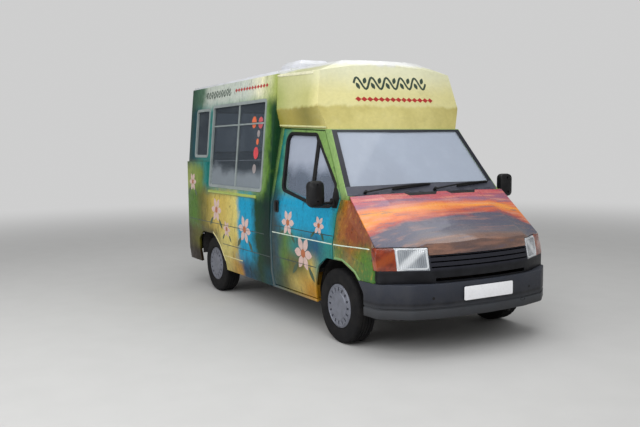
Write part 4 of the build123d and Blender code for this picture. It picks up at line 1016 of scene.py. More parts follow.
class Skin:
    """The faces of some model nodes, for laying thin pieces on them."""

    beside: float = 1.4
    before: float = 1.4
    behind: float = -4.2
    above: float = 3.2
    near: float = 0.6

    def __init__(self, frame: dict[str, Any], *nodes: str) -> None:
        """Gather the nodes' faces.

        Args:
            frame: the loaded frame.
            nodes: names of the nodes.
        """
        points: list[Vector] = []
        faces: list[list[int]] = []
        for node in nodes:
            mesh = frame["nodes"][node].data
            first = len(points)
            points += [vertex.co.copy() for vertex in mesh.vertices]
            faces += [[first + index for index in face.vertices] for face in mesh.polygons]
        self.tree = BVHTree.FromPolygons(points, faces)

    def drop(self, start: Vector, way: Vector) -> Found:
        """Where a ray first meets the faces.

        Args:
            start: the ray's start, outside.
            way: its direction.

        Returns:
            The point and the outward normal there.
        """
        point, normal, _, _ = self.tree.ray_cast(start, way)
        if point is None:
            point, normal, _, _ = self.tree.find_nearest(start + way * self.near)
        if normal.dot(way) > 0:
            normal = -normal
        return point, normal

    def side(self, ahead: float, z: float, sign: int = 1) -> Found:
        """Point and normal on the van's side."""
        return self.drop(at(ahead, sign * self.beside, z), Vector((0, -sign, 0)))

    def flank(self, sign: int) -> Finder:
        """Point finder of one side of the van."""
        return functools.partial(self.side, sign=sign)

    def front(self, y: float, z: float) -> Found:
        """Point and normal on the van's front."""
        return self.drop(at(self.before, y, z), Vector((-1, 0, 0)))

    def rear(self, y: float, z: float) -> Found:
        """Point and normal on the van's back."""
        return self.drop(at(self.behind, y, z), Vector((1, 0, 0)))

    def top(self, ahead: float, y: float) -> Found:
        """Point and normal on the van's top."""
        return self.drop(at(ahead, y, self.above), Vector((0, 0, -1)))

    @staticmethod
    def ribbon(spots: Flat, find: Finder, section: Flat, step: float = 0.04) -> Shape:
        """Strip that follows the surface.

        Args:
            spots: corners of the way as find's first two values.
            find: point finder of the surface.
            section: outline of (across, outward).
            step: longest distance between two rings.

        Returns:
            The strip.
        """
        path: Outline = []
        for first, last in zip(spots, spots[1:]):
            parts = max(1, math.ceil(math.dist(first, last) / step))
            path += [between(first, last, k / parts) for k in range(parts)]
        found = [find(*spot) for spot in (*path, spots[-1])]
        return Shape().sweep([p for p, _ in found], [n for _, n in found], section)

    @staticmethod
    def collar(inner: Flat, outer: Flat, find: Finder, profile: Sequence[Triple]) -> Shape:
        """Closed ring laid on the surface between two outlines of as many corners.

        Args:
            inner: outline as find's first two values.
            outer: outline round it.
            find: point finder of the surface.
            profile: section as (share of the way in, further inward, outward).

        Returns:
            The ring.
        """
        rings = []
        for near, far in zip(inner, outer):
            start, normal = find(*far)
            end, _ = find(*near)
            way = (end - start).normalized()
            rings.append([start.lerp(end, share) + way * extra + normal * out
                          for share, extra, out in profile])
        return Shape().skin(rings, True)

    @staticmethod
    def patch(outline: Flat, find: Finder, proud: float = 0.0008, step: float = 0.06,
              sink: float = 0.001) -> Shape:
        """Thin closed sheet laid on the surface.

        Args:
            outline: closed outline as find's first two values.
            find: point finder of the surface.
            proud: thickness.
            step: longest edge inside the sheet.
            sink: depth of its underside below the surface.

        Returns:
            The sheet.
        """
        form = bmesh.new()
        form.faces.new([form.verts.new((u, v, 0)) for u, v in outline])
        bmesh.ops.triangulate(form, faces=form.faces)
        for _ in range(5):
            long_edges = [edge for edge in form.edges if edge.calc_length() > step]
            if not long_edges:
                break
            bmesh.ops.subdivide_edges(form, edges=long_edges, cuts=1)
            bmesh.ops.triangulate(form, faces=form.faces)
        form.verts.index_update()
        found = [find(vertex.co.x, vertex.co.y) for vertex in form.verts]
        faces = [tuple(vertex.index for vertex in face.verts) for face in form.faces]
        rim = [tuple(vertex.index for vertex in edge.verts) for edge in form.edges if edge.is_boundary]
        form.free()
        count = len(found)
        upper = [point + normal * proud for point, normal in found]
        lower = [point - normal * sink for point, normal in found]
        walls = [(a, b, b + count, a + count) for a, b in rim]
        under = [tuple(index + count for index in reversed(face)) for face in faces]
        return Shape().add(upper + lower, faces + under + walls)


# Sections of collars: share of the way in, further inward, outward
SCREEN_SEAL = ((0, 0, -0.001), (0, 0, 0.0012), (1, 0.013, 0.0016), (1, 0.013, 0.0001), (1, 0, -0.001))
WINDOW_SEAL = ((0, 0, -0.002), (0, 0, 0.004), (0.6, 0, 0.008), (1, 0.004, 0.007), (1, 0.008, 0.002),
               (1, 0.008, -0.027), (1, -0.004, -0.027), (1, -0.004, -0.002))


def strip(width: float, height: float, sink: float = 0.001) -> Outline:
    """Section of a low strip with sloping edges.

    Args:
        width: full width at its foot.
        height: height above the surface.
        sink: depth of the foot below the surface.

    Returns:
        The section's corners.
    """
    half = width / 2
    return [(-half, -sink), (half, -sink), (half, height * 0.4), (half * 0.7, height),
            (-half * 0.7, height), (-half, height * 0.4)]


class Repeat:
    """Geometry Nodes tree that puts copies of one small object on a mesh's points."""

    def __init__(self, name: str, pattern: Shape, finish: Finish, bevel: float = 0.0) -> None:
        """Make the pattern object and the tree.

        Args:
            name: name of the tree.
            pattern: the small shape about the origin, outward along Z.
            finish: its surface.
            bevel: width of its rounded edges.
        """
        self.sample = pattern.object(name + "_pattern", finish, bevel)
        self.tree = bpy.data.node_groups.new(name, "GeometryNodeTree")
        face = self.tree.interface
        face.new_socket("Points", in_out="INPUT", socket_type="NodeSocketGeometry")
        self.size = face.new_socket("Size", in_out="INPUT", socket_type="NodeSocketFloat").identifier
        face.new_socket("Copies", in_out="OUTPUT", socket_type="NodeSocketGeometry")
        graph = Graph(self.tree)
        points = graph.node("NodeGroupInput", output="Points")
        size = Port(graph, points.socket.node.outputs["Size"])
        turn = graph.node("GeometryNodeInputNamedAttribute", {"data_type": "FLOAT_VECTOR"}, {"Name": "turn"})
        rotation = graph.node("FunctionNodeEulerToRotation", {}, {"Euler": turn})
        info = graph.node("GeometryNodeObjectInfo", {}, {"Object": self.sample}, "Geometry")
        copies = graph.node("GeometryNodeInstanceOnPoints", {}, {
            "Points": points, "Instance": info, "Rotation": rotation, "Scale": size})
        real = graph.node("GeometryNodeRealizeInstances", {}, {"Geometry": copies})
        done = graph.node("GeometryNodeSetMaterial", {}, {"Geometry": real, "Material": dressed(finish)})
        graph.node("NodeGroupOutput", {}, {"Copies": done})

    def place(self, name: str, spots: Sequence[tuple[Vector, Vector, float]],
              size: float) -> Piece:
        """Put a copy at each spot and make one plain mesh of them.

        Args:
            name: the piece's name.
            spots: place, outward direction and turn about it, in radians.
            size: scale of the copies.

        Returns:
            The piece.
        """
        mesh = bpy.data.meshes.new(name)
        mesh.from_pydata([tuple(point) for point, _, _ in spots], [], [])
        turns = mesh.attributes.new("turn", "FLOAT_VECTOR", "POINT")
        for index, (_, outward, roll) in enumerate(spots):
            stand = outward.to_track_quat("Z", "Y").to_matrix() @ Matrix.Rotation(roll, 3, "Z")
            turns.data[index].vector = stand.to_euler()
        thing = placed(name, mesh)
        maker = thing.modifiers.new("copies", "NODES")
        maker.node_group = self.tree
        maker[self.size] = size
        bake(thing)
        thing.data.shade_smooth()
        thing.data.set_sharp_from_angle(angle=math.radians(CRISP_DEGREES))
        return thing

    def clear(self) -> None:
        """Delete the pattern object."""
        bpy.data.objects.remove(self.sample)


def between(first: Spot, last: Spot, share: float) -> Spot:
    """Point on the line from one point to another."""
    return first[0] + (last[0] - first[0]) * share, first[1] + (last[1] - first[1]) * share


def divided(corners: Flat, parts: int) -> Outline:
    """Closed outline with each side cut into equal parts."""
    ends = zip(corners, [*corners[1:], corners[0]])
    return [between(first, last, k / parts) for first, last in ends for k in range(parts)]


def ellipse(centre: Spot, across: float, up: float, steps: int = 24) -> Outline:
    """Closed outline of an ellipse.

    Args:
        centre: its middle.
        across: half width.
        up: half height.
        steps: number of corners.

    Returns:
        The outline.
    """
    return [(centre[0] + across * math.cos(2 * math.pi * k / steps),
             centre[1] + up * math.sin(2 * math.pi * k / steps)) for k in range(steps)]


def pointed(middle: Spot, length: float, width: float, turn: float, steps: int = 8) -> Outline:
    """Pointed oval outline.

    Args:
        middle: its centre.
        length: half length.
        width: half width.
        turn: direction of its length, in radians.
        steps: corners on each side.

    Returns:
        The outline.
    """
    result = []
    for side in (1, -1):
        for step in range(steps):
            t = -1 + 2 * step / steps
            u, v = side * t * length, side * width * (1 - t * t)
            result.append((middle[0] + u * math.cos(turn) - v * math.sin(turn),
                           middle[1] + u * math.sin(turn) + v * math.cos(turn)))
    return result


def oblong(low: Spot, high: Spot, radius: float, steps: int = 5) -> Outline:
    """Upright rectangle with rounded corners.

    Args:
        low: its lowest corner.
        high: its highest corner.
        radius: radius of the corners.
        steps: corners on each arc.

    Returns:
        The outline.
    """
    return rounded((low, (high[0], low[1]), high, (low[0], high[1])), radius, steps)


def rounded(corners: Flat, radius: float | Sequence[float], steps: int = 5) -> Outline:
    """Closed outline with each corner cut to an arc.

    Args:
        corners: sharp corners in order.
        radius: radius of the arcs, one for all or one for each.
        steps: corners on each arc.

    Returns:
        The rounded outline.
    """
    result = []
    count = len(corners)
    radii = [radius] * count if isinstance(radius, float) else list(radius)
    for index, corner in enumerate(corners):
        here = Vector(corner)
        before = (Vector(corners[index - 1]) - here).normalized()
        after = (Vector(corners[(index + 1) % count]) - here).normalized()
        half = before.angle(after) / 2
        back = radii[index] / math.tan(half)
        centre = here + (before + after).normalized() * (radii[index] / math.sin(half))
        first, last = here + before * back - centre, here + after * back - centre
        for step in range(steps + 1):
            spoke = first.lerp(last, step / steps).normalized() * radii[index]
            result.append(tuple(centre + spoke))
    return result


def grown(outline: Flat, distance: float) -> Outline:
    """Closed outline moved outward all round.

    Args:
        outline: its corners in order.
        distance: how far, or a negative value to shrink it.

    Returns:
        The moved outline, corner for corner.
    """
    count = len(outline)
    area = sum(outline[k - 1][0] * outline[k][1] - outline[k][0] * outline[k - 1][1] for k in range(count))
    turn = 1 if area > 0 else -1
    result = []
    for index, corner in enumerate(outline):
        way = Vector(outline[(index + 1) % count]) - Vector(outline[index - 1])
        out = Vector((way.y, -way.x)).normalized() * turn
        result.append((corner[0] + out.x * distance, corner[1] + out.y * distance))
    return result


# Sub-assemblies


@dataclass
class Assembly:
    """A sub-assembly of the van that fits its pieces to the frame."""

    frame: dict[str, Any]

    def fit(self, piece: Piece, body: str, slot: str, *nodes: str) -> Piece:
        """Attach a finished piece to its body and hide the model nodes that it stands for.

        Args:
            piece: the object.
            body: the body it moves with.
            slot: the record's material slot; not used.
            nodes: model nodes that it stands for.

        Returns:
            The piece.
        """
        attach(piece, body)
        if nodes:
            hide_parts(*nodes)
        LOG.info("%s on %s, %d faces", piece.name, body, len(piece.data.polygons))
        return piece

    def add(self, shape: Shape, name: str, finish: Finish, body: str, slot: str, bevel: float = 0.0,
            nodes: Sequence[str] = ()) -> Piece:
        """Args:
            shape: the mesh.
            name: the piece's name.
            finish: its surface.
            body: the body it moves with.
            slot: the record's material slot.
            bevel: width of its rounded edges.
            nodes: model nodes that it stands for.

        Returns:
            The piece.
        """
        return self.fit(shape.object(name, finish, bevel), body, slot, *nodes)

    def skin(self, *nodes: str) -> Skin:
        """The faces of some model nodes."""
        return Skin(self.frame, *nodes)

    def paint(self, finish: Finish, *nodes: str) -> None:
        """Give model nodes a finish.

        Args:
            finish: the surface.
            nodes: names of the nodes.
        """
        for node in nodes:
            materials = self.frame["nodes"][node].data.materials
            materials.clear()
            materials.append(dressed(finish))

    def soften(self, node: str, finish: Finish, body: str, slot: str, width: float,
               angle: float = 24.0) -> Piece:
        """Stand in for a model node with a copy whose edges are rounded.

        Args:
            node: the node.
            finish: its surface.
            body: its body.
            slot: its material slot.
            width: width of the rounding.
            angle: edges sharper than this are rounded, in degrees.

        Returns:
            The piece.
        """
        mesh = self.frame["nodes"][node].data.copy()
        form = bmesh.new()
        form.from_mesh(mesh)
        bmesh.ops.remove_doubles(form, verts=form.verts, dist=SAME_POINT)
        bmesh.ops.dissolve_limit(form, angle_limit=math.radians(FLAT_DEGREES), verts=form.verts,
                                 edges=form.edges)
        form.to_mesh(mesh)
        form.free()
        return self.fit(finished(placed("soft_" + node, mesh), finish, width, angle), body, slot, node)


# Node, finish, body, slot, width of the rounding and, where it isn't the usual one, its angle
PANELS = (
    ("lower_side_panels", SIDE_PAINT, "body", "body_paint", 0.006),
    ("upper_side_panels", SIDE_PAINT, "body", "fibreglass", 0.008),
    ("rear_upper_panel", REAR_PAINT, "body", "fibreglass", 0.006),
    ("roof", GEL_COAT, "body", "roof_white", 0.02),
    ("roof_hatch", GEL_COAT, "body", "roof_white", 0.02),
    ("sign_dome", DOME_PAINT, "body", "fibreglass", 0.02, 12.0),
    ("cab_frame", CAB_PAINT, "body", "body_paint", 0.003),
    ("front_wings", WING_PAINT, "body", "body_paint", 0.012, 14.0),
    ("bonnet", BONNET_PAINT, "bonnet", "bonnet_paint", 0.01, 26.0),
)


class Carrier(Enum):
    """Model nodes that a moulding lies on."""

    SIDE = ("lower_side_panels",)
    TOP = ("sign_dome", "cab_frame")
    WING = ("front_wings",)
    DOOR = ("door_{}",)

    def nodes(self, name: str) -> list[str]:
        """Names of the nodes on one side of the van."""
        return [node.format(name) for node in self.value]

    def body(self, name: str) -> str:
        """The body that they move with."""
        return f"door_{name}" if self is Carrier.DOOR else "body"


@dataclass(frozen=True)
class Moulding:
    """One or more strips on the van's side that make one piece.

    runs holds for each strip its way, as (ahead, z), and its section.
    """

    name: str
    carrier: Carrier
    paint: Finish
    runs: tuple[tuple[Flat, Flat], ...]
    slot: str = "body_paint"
    bevel: float = 0.0


SWAGE = strip(0.008, 0.0008)
HIGHLIGHT_LINE = strip(0.009, 0.0015)
LIP = strip(0.018, 0.003)
# The swage strips are painted shade in the pressed grooves; the crease, waist and wing lip strips are
# painted highlight, and the ledge partly so.
MOULDINGS = (
    Moulding("swage", Carrier.SIDE, SWAGE_SHADOW,
             ((((-3.545, 0.82), (-1.375, 0.82)), SWAGE), (((-2.5, 0.6), (-1.262, 0.6)), SWAGE))),
    Moulding("crease", Carrier.SIDE, CREASE_HIGHLIGHT,
             ((((-2.785, 0.706), (-2.695, 0.662), (-2.58, 0.578), (-2.515, 0.502), (-2.47, 0.437),
                (-2.455, 0.402)), LIP),
              (((-2.44, 0.467), (-1.95, 0.467)), strip(0.01, 0.002))), bevel=0.001),
    Moulding("window_ledge", Carrier.SIDE, LEDGE_PAINT_AND_HIGHLIGHT,
             ((((-2.9, 1.186), (-1.566, 1.186)), strip(0.032, 0.016, 0.004)),), "fibreglass", 0.004),
    Moulding("drip_rail", Carrier.TOP, RAIL_PAINT,
             ((((-1.24, 1.912), (-0.47, 1.876)), strip(0.018, 0.012, 0.004)),), "fibreglass", 0.003),
    Moulding("sign_moulding", Carrier.TOP, MOULDING_PAINT,
             ((((-1.24, 2.4), (-0.66, 2.385)), strip(0.03, 0.008, 0.004)),), "fibreglass", 0.004),
    Moulding("trim_line", Carrier.DOOR, WAIST_HIGHLIGHT, ((((-1.19, 0.862), (-0.04, 0.862)), HIGHLIGHT_LINE),)),
    Moulding("wing_line", Carrier.WING, WAIST_HIGHLIGHT, ((((-0.012, 0.862), (0.5, 0.87)), HIGHLIGHT_LINE),)),
    Moulding("wing_lip", Carrier.WING, LIP_HIGHLIGHT,
             ((((0.0, 0.748), (0.11, 0.746), (0.2, 0.708), (0.285, 0.664), (0.345, 0.6)), LIP),),
             bevel=0.001),
    Moulding("door_swage", Carrier.DOOR, SWAGE_SHADOW,
             ((((-1.19, 0.93), (-0.04, 0.93)), SWAGE), (((-1.19, 0.62), (-0.04, 0.62)), SWAGE))),
)


@dataclass(frozen=True)
class Flower:
    """Painted flower with two leaves, its parts as shares of its size."""

    ahead: float
    z: float
    size: float
    petals: int = 6
    petal_at: float = 0.56
    petal: Spot = (0.42, 0.24)
    heart: float = 0.24
    leaf_at: float = 1.35
    leaf: Spot = (0.5, 0.15)
    leaf_turns: Spot = (3.9, 5.4)

    def oval(self, reach: float, half: Spot, turn: float) -> Outline:
        """Pointed oval that points away from the flower's middle.

        Args:
            reach: distance of the oval's middle.
            half: its half length and half width.
            turn: direction from the middle, in radians.

        Returns:
            The outline.
        """
        away = self.size * reach
        middle = (self.ahead + away * math.cos(turn), self.z + away * math.sin(turn))
        return pointed(middle, self.size * half[0], self.size * half[1], turn)

    def outlines(self, start: float) -> tuple[list[Outline], ...]:
        """Outlines of the petals, the heart and the leaves.

        Args:
            start: turn of the first petal, in radians.

        Returns:
            A list for each kind.
        """
        turns = [2 * math.pi * k / self.petals + start for k in range(self.petals)]
        heart = ellipse((self.ahead, self.z), self.size * self.heart, self.size * self.heart, 16)
        return ([self.oval(self.petal_at, self.petal, turn) for turn in turns], [heart],
                [self.oval(self.leaf_at, self.leaf, turn) for turn in self.leaf_turns])


@dataclass(frozen=True)
class Scroll:
    """Wavy stem with a leaf in each bend, from one point to another."""

    first: Spot
    last: Spot
    rise: float
    width: float
    waves: int = 5
    fine: int = 12
    proud: float = 0.0015
    leaf_long: float = 0.2
    leaf_wide: float = 0.9
    leaf_off: float = 0.45
    leaf_turn: float = 1.1

    def lay(self, skin: Skin, find: Finder) -> Shape:
        """Make the scroll on a surface.

        Args:
            skin: the surface.
            find: its point finder.

        Returns:
            The scroll.
        """
        steps = self.waves * self.fine
        stem = []
        for k in range(steps + 1):
            u, v = between(self.first, self.last, k / steps)
            stem.append((u, v + self.rise * math.sin(2 * math.pi * k / self.fine)))
        shape = skin.ribbon(stem, find, strip(self.width, self.proud), 0.05)
        length = math.dist(self.first, self.last) / self.waves * self.leaf_long
        for k in range(2 * self.waves):
            way = 1 if k % 2 else -1
            u, v = between(self.first, self.last, (k + 0.5) / (2 * self.waves))
            leaf = pointed((u, v + way * self.rise * self.leaf_off), length, self.width * self.leaf_wide,
                           way * self.leaf_turn)
            shape.join(skin.patch(leaf, find, self.proud, 0.03))
        return shape


@dataclass
class Coachwork(Assembly):
    """Painted panels, their mouldings and the generic painted ornament."""

    seal_width: float = 0.024
    seal_lap: float = 0.003
    window: Flat = ((-0.128, 1.188), (-0.145, 1.355), (-0.606, 1.802), (-1.095, 1.822), (-1.035, 1.296),
                    (-0.56, 1.215), (-0.42, 1.173))
    window_radii: tuple[float, ...] = (0.03, 0.04, 0.05, 0.06, 0.07, 0.1, 0.1)
    bar: Flat = ((-0.487, 1.2), (-0.58, 1.79))
    sail: Flat = ((-0.04, 1.168), (-0.04, 1.252), (-0.095, 1.325), (-0.128, 1.345), (-0.11, 1.168))
    handle_at: Spot = (-1.105, 1.12)
    # Low and high corner, radius, start and depth of the handle's cup and of its grip
    handle: tuple[tuple[Spot, Spot, float, float, float], ...] = (
        ((-0.045, -0.06), (0.045, 0.06), 0.02, 0.0, 0.006),
        ((-0.032, -0.045), (0.006, 0.045), 0.012, 0.005, 0.012))
    side_flowers: tuple[Flower, ...] = (
        Flower(-3.42, 1.28, 0.12), Flower(-2.66, 0.98, 0.15), Flower(-2.36, 0.78, 0.1),
        Flower(-1.86, 0.82, 0.16))
    door_flowers: tuple[Flower, ...] = (
        Flower(-0.86, 0.98, 0.13), Flower(-0.55, 0.72, 0.17), Flower(-0.28, 1.0, 0.09))
    lozenge: Spot = (0.5, 0.35)
    # Start, length, height, number and size of the lozenges in a row
    sign_row: Row = (-0.4, 0.84, 2.135, 14, 0.07)
    side_row: Row = (-2.25, 0.78, 2.325, 12, 0.062)
    sign_scroll: Scroll = Scroll((-0.42, 2.285), (0.42, 2.3), 0.055, 0.022)
    side_scroll: Scroll = Scroll((-3.15, 2.315), (-2.4, 2.32), 0.036, 0.016)
    vents: Flat = ((-0.29, 0.07), (0.18, 0.52))
    vent_ahead: Spot = (0.101, 0.137)
    vent_taper: float = 0.035
    # Insets of the painted crease shades from a vent's ends, and their ends as (ahead, across)
    crease_insets: Spot = (0.01, 0.02)
    crease: Flat = ((0.142, 0.02), (0.215, 0.05))

    def build(self) -> None:
        """Paint the panels and add everything that lies on them."""
        for panel in PANELS:
            self.soften(*panel)
        for name, sign in SIDES:
            self.soften(f"door_{name}", DOOR_PAINT, f"door_{name}", "body_paint", 0.004)
            self.soften(f"rear_door_{name}", REAR_PAINT, f"rear_door_{name}", "body_paint", 0.004)
            for item in MOULDINGS:
                self.moulding(item, name, sign)
            self.window_seal(name, sign)
            self.door_handle(name, sign)
            self.flowers("lower_side_panels", "body", self.side_flowers, name, sign)
            self.flowers(f"door_{name}", f"door_{name}", self.door_flowers, name, sign)
        self.ornament_rows()
        self.bonnet_vents()

    def moulding(self, item: Moulding, name: str, sign: int) -> None:
        """One moulding on one side.

        Args:
            item: the moulding.
            name: left or right.
            sign: 1 or -1.
        """
        skin = self.skin(*item.carrier.nodes(name))
        shape = Shape()
        for way, section in item.runs:
            shape.join(skin.ribbon(way, skin.flank(sign), section))
        self.add(shape, f"{item.name}_{name}", item.paint, item.carrier.body(name), item.slot, item.bevel)

    def window_seal(self, name: str, sign: int) -> None:
        """Window seal of one cab door, with the bar and the sail in front of it.

        Args:
            name: left or right.
            sign: 1 or -1.
        """
        body = f"door_{name}"
        skin = self.skin(body)
        find = skin.flank(sign)
        hole = rounded(self.window, self.window_radii)
        seal = skin.collar(grown(hole, self.seal_lap), grown(hole, self.seal_width), find, WINDOW_SEAL)
        seal.join(skin.ribbon(self.bar, find, strip(0.046, 0.004, 0.034)))
        seal.join(skin.patch(self.sail, find, 0.006))
        self.add(seal, f"window_seal_{name}", RUBBER, body, "seal_rubber")

    def door_handle(self, name: str, sign: int) -> None:
        """Handle of one cab door.

        Args:
            name: left or right.
            sign: 1 or -1.
        """
        body = f"door_{name}"
        plate, normal = self.skin(body).side(*self.handle_at, sign)
        handle = Shape()
        for low, high, radius, start, depth in self.handle:
            outline = [plate + Vector((u, 0, v)) + normal * start for u, v in oblong(low, high, radius)]
            handle.prism(outline, normal * depth)
        self.add(handle, f"door_handle_{name}", BLACK_PLASTIC, body, "black_plastic", 0.002)

    def flowers(self, node: str, body: str, blooms: Sequence[Flower], name: str, sign: int) -> None:
        """Painted flowers on one panel.

        Args:
            node: the panel.
            body: its body.
            blooms: the flowers.
            name: left or right.
            sign: 1 or -1.
        """
        skin = self.skin(node)
        find = skin.flank(sign)
        for part, (kind, paint, proud) in enumerate(FLOWER_PARTS):
            shape = Shape()
            for index, bloom in enumerate(blooms):
                for outline in bloom.outlines(index)[part]:
                    shape.join(skin.patch(outline, find, proud))
            self.add(shape, f"painted_{kind}_{body}_{name}", paint, body, "body_paint")

    def ornament_rows(self) -> None:
        """Rows of lozenges and a leafy scroll on the sign dome and on both side panels."""
        wide, high = self.lozenge
        corners = [Vector(point) for point in ((-wide, 0, 0), (0, -high, 0), (wide, 0, 0), (0, high, 0))]
        red = Repeat("lozenge_row", Shape().prism(corners, Vector((0, 0, 0.02))), RED_ENAMEL)
        dome = self.skin("sign_dome")
        self.lozenges(red, "sign_lozenges", dome.front, self.sign_row)
        self.add(self.sign_scroll.lay(dome, dome.front), "sign_scroll", GREEN_ENAMEL, "body", "fibreglass")
        side = self.skin("upper_side_panels")
        for name, sign in SIDES:
            find = side.flank(sign)
            self.lozenges(red, f"side_lozenges_{name}", find, self.side_row)
            scroll = self.side_scroll.lay(side, find)
            self.add(scroll, f"side_scroll_{name}", GREEN_ENAMEL, "body", "fibreglass")
        red.clear()

    def lozenges(self, maker: Repeat, name: str, find: Finder,
                 row: Row) -> None:
        """One row of lozenges.

        Args:
            maker: what puts the copies.
            name: the piece's name.
            find: point finder of the surface.
            row: start, length, height, number and size.
        """
        start, length, z, count, size = row
        spots = [(*find(start + length * k / (count - 1), z), 0.0) for k in range(count)]
        self.fit(maker.place(name, spots, size), "body", "fibreglass")

    def bonnet_vents(self) -> None:
        """Black vents along the bonnet's rear edge, their black partly painted shade of the gap behind it,
        with a strip of painted shade along a short crease before each end.
        """
        bonnet = self.skin("bonnet")
        vents, crease_shades = Shape(), Shape()
        rear, front = self.vent_ahead
        for low, high in self.vents:
            outline = ((rear, low), (rear, high), (front, high - self.vent_taper),
                       (front, low + self.vent_taper))
            vents.join(bonnet.patch(outline, bonnet.top, 0.0012))
            for y in (low + self.crease_insets[0], high - self.crease_insets[1]):
                way = [(ahead, y + across) for ahead, across in self.crease]
                crease_shades.join(bonnet.ribbon(way, bonnet.top, strip(0.006, 0.0008)))
        self.add(vents, "bonnet_vents", BLACK_PLASTIC, "bonnet", "black_plastic")
        self.add(crease_shades, "bonnet_creases", PRESS_SHADOW, "bonnet", "bonnet_paint")


@dataclass
class Glazing(Assembly):
    """Windscreen with its surround and wipers, side windows and their stickers."""

    glass_z: Spot = (1.35, 1.835)
    cowl_z: Spot = (1.281, 1.349)
    border: float = 0.039
    border_top: float = 0.014
    border_parts: int = 14
    # Least and greatest half width and step of the search for the surround's edge, and its face's slope
    search_y: Spot = (0.5, 0.95)
    search_step: float = 0.002
    face_slope: Spot = (0.5, 0.9)
    edge_gap: float = 0.004
    # Pivot and tip of each wiper as (y, z)
    wipers_at: tuple[tuple[Spot, Spot], ...] = (
        ((0.075, 1.292), (0.73, 1.336)), ((-0.67, 1.29), (0.02, 1.336)))
    arm: Flat = ((-0.008, -0.003), (0.008, -0.003), (0.006, 0.003), (-0.006, 0.003))
    arm_steps: int = 8
    arm_lift: float = 0.024
    arm_bow: float = 0.02
    boss: Spot = (0.036, 0.014)
    blade: Flat = ((-0.004, -0.012), (0.004, -0.012), (0.007, 0.006), (-0.007, 0.006))
    blade_share: Spot = (0.42, 1.04)
    blade_steps: int = 10
    blade_lift: float = 0.012
    # Place, size and number of the paint of each sticker
    stickers_at: tuple[tuple[float, float, float, int], ...] = (
        (-1.758, 1.96, 0.056, 0), (-1.597, 1.95, 0.056, 1), (-1.632, 1.839, 0.034, 3),
        (-1.648, 1.756, 0.03, 0), (-1.671, 1.638, 0.058, 2), (-1.691, 1.473, 0.044, 3))

    def build(self) -> None:
        """Dress the glass and add what is on it."""
        self.paint(SCREEN_GLASS, "windscreen")
        self.paint(SIDE_GLASS, "body_glass")
        self.paint(ANODISED, "window_frames")
        self.paint(RUBBER, "rear_window_seal")
        self.paint(DOOR_GLASS, "door_glass_left", "door_glass_right")
        self.surround()
        self.wipers()
        self.stickers()

    def surround(self) -> None:
        """Dark border round the screen and the grey cowl panel below it."""
        cab = self.skin("cab_frame")
        low, high = self.glass_z
        top = high + self.border_top
        wide_low, wide_top = self.half_width(cab, low), self.half_width(cab, top)
        inner_low, inner_high = wide_low - self.border, self.half_width(cab, high) - self.border
        inner = ((-inner_low, low - 0.002), (inner_low, low - 0.002), (inner_high, high + 0.002),
                 (-inner_high, high + 0.002))
        outer = ((-wide_low, low - 0.01), (wide_low, low - 0.01), (wide_top, top), (-wide_top, top))
        ring = cab.collar(divided(inner, self.border_parts), divided(outer, self.border_parts), cab.front,
                          SCREEN_SEAL)
        self.add(ring, "screen_border", SCREEN_BAND, "body", "seal_rubber")
        foot, head = self.cowl_z
        end = wide_low - 0.003
        panel = ((-end - 0.01, foot), (end + 0.01, foot), (end, head), (-end, head))
        cowl = cab.patch(panel, cab.front, 0.003, 0.1)
        cowl.join(cab.ribbon(((-end - 0.008, foot), (end + 0.008, foot)), cab.front, strip(0.026, 0.003)))
        self.add(cowl, "cowl_panel", COWL, "body", "black_plastic")

    def half_width(self, cab: Skin, z: float) -> float:
        """Half width of the screen's surround at a level.

        Args:
            cab: faces of the cab.
            z: the level.

        Returns:
            Distance from the middle to the surround's edge.
        """
        least, y = self.search_y
        low, high = self.face_slope
        while y > least:
            point, normal = cab.front(y, z)
            if low < normal.x < high and abs(point.y - y) < self.search_step / 2:
                return y - self.edge_gap
            y -= self.search_step
        return y

    def wipers(self) -> None:
        """Two wiper arms with their blades."""
        screen = self.skin("windscreen", "cab_frame")
        arms, blades = Shape(), Shape()
        for pivot, tip in self.wipers_at:
            path, outs = [], []
            for step in range(self.arm_steps + 1):
                t = step / self.arm_steps
                point, normal = screen.front(*between(pivot, tip, t))
                path.append(point + normal * (self.arm_lift + self.arm_bow * math.sin(math.pi * t)))
                outs.append(normal)
            arms.sweep(path, outs, self.arm)
            foot, out = screen.front(*pivot)
            length, radius = self.boss
            arms.tube([foot, foot + out * length], radius, 14)
            first, last = (between(pivot, tip, share) for share in self.blade_share)
            found = [screen.front(*between(first, last, k / self.blade_steps))
                     for k in range(self.blade_steps + 1)]
            blades.sweep([p + n * self.blade_lift for p, n in found], [n for _, n in found], self.blade)
        self.add(arms, "wiper_arms", BLACK_PLASTIC, "body", "black_plastic", 0.001)
        self.add(blades, "wiper_blades", RUBBER, "body", "seal_rubber")

    def stickers(self) -> None:
        """Plain round stickers inside the front pane of each serving window."""
        glass = self.skin("body_glass")
        for name, sign in SIDES:
            for index, (ahead, z, size, tone) in enumerate(self.stickers_at):
                part = glass.patch(ellipse((ahead, z), size, size * 1.1), glass.flank(sign))
                self.add(part, f"sticker_{index}_{name}", STICKER_PAINTS[tone], "body", "lamp_orange")


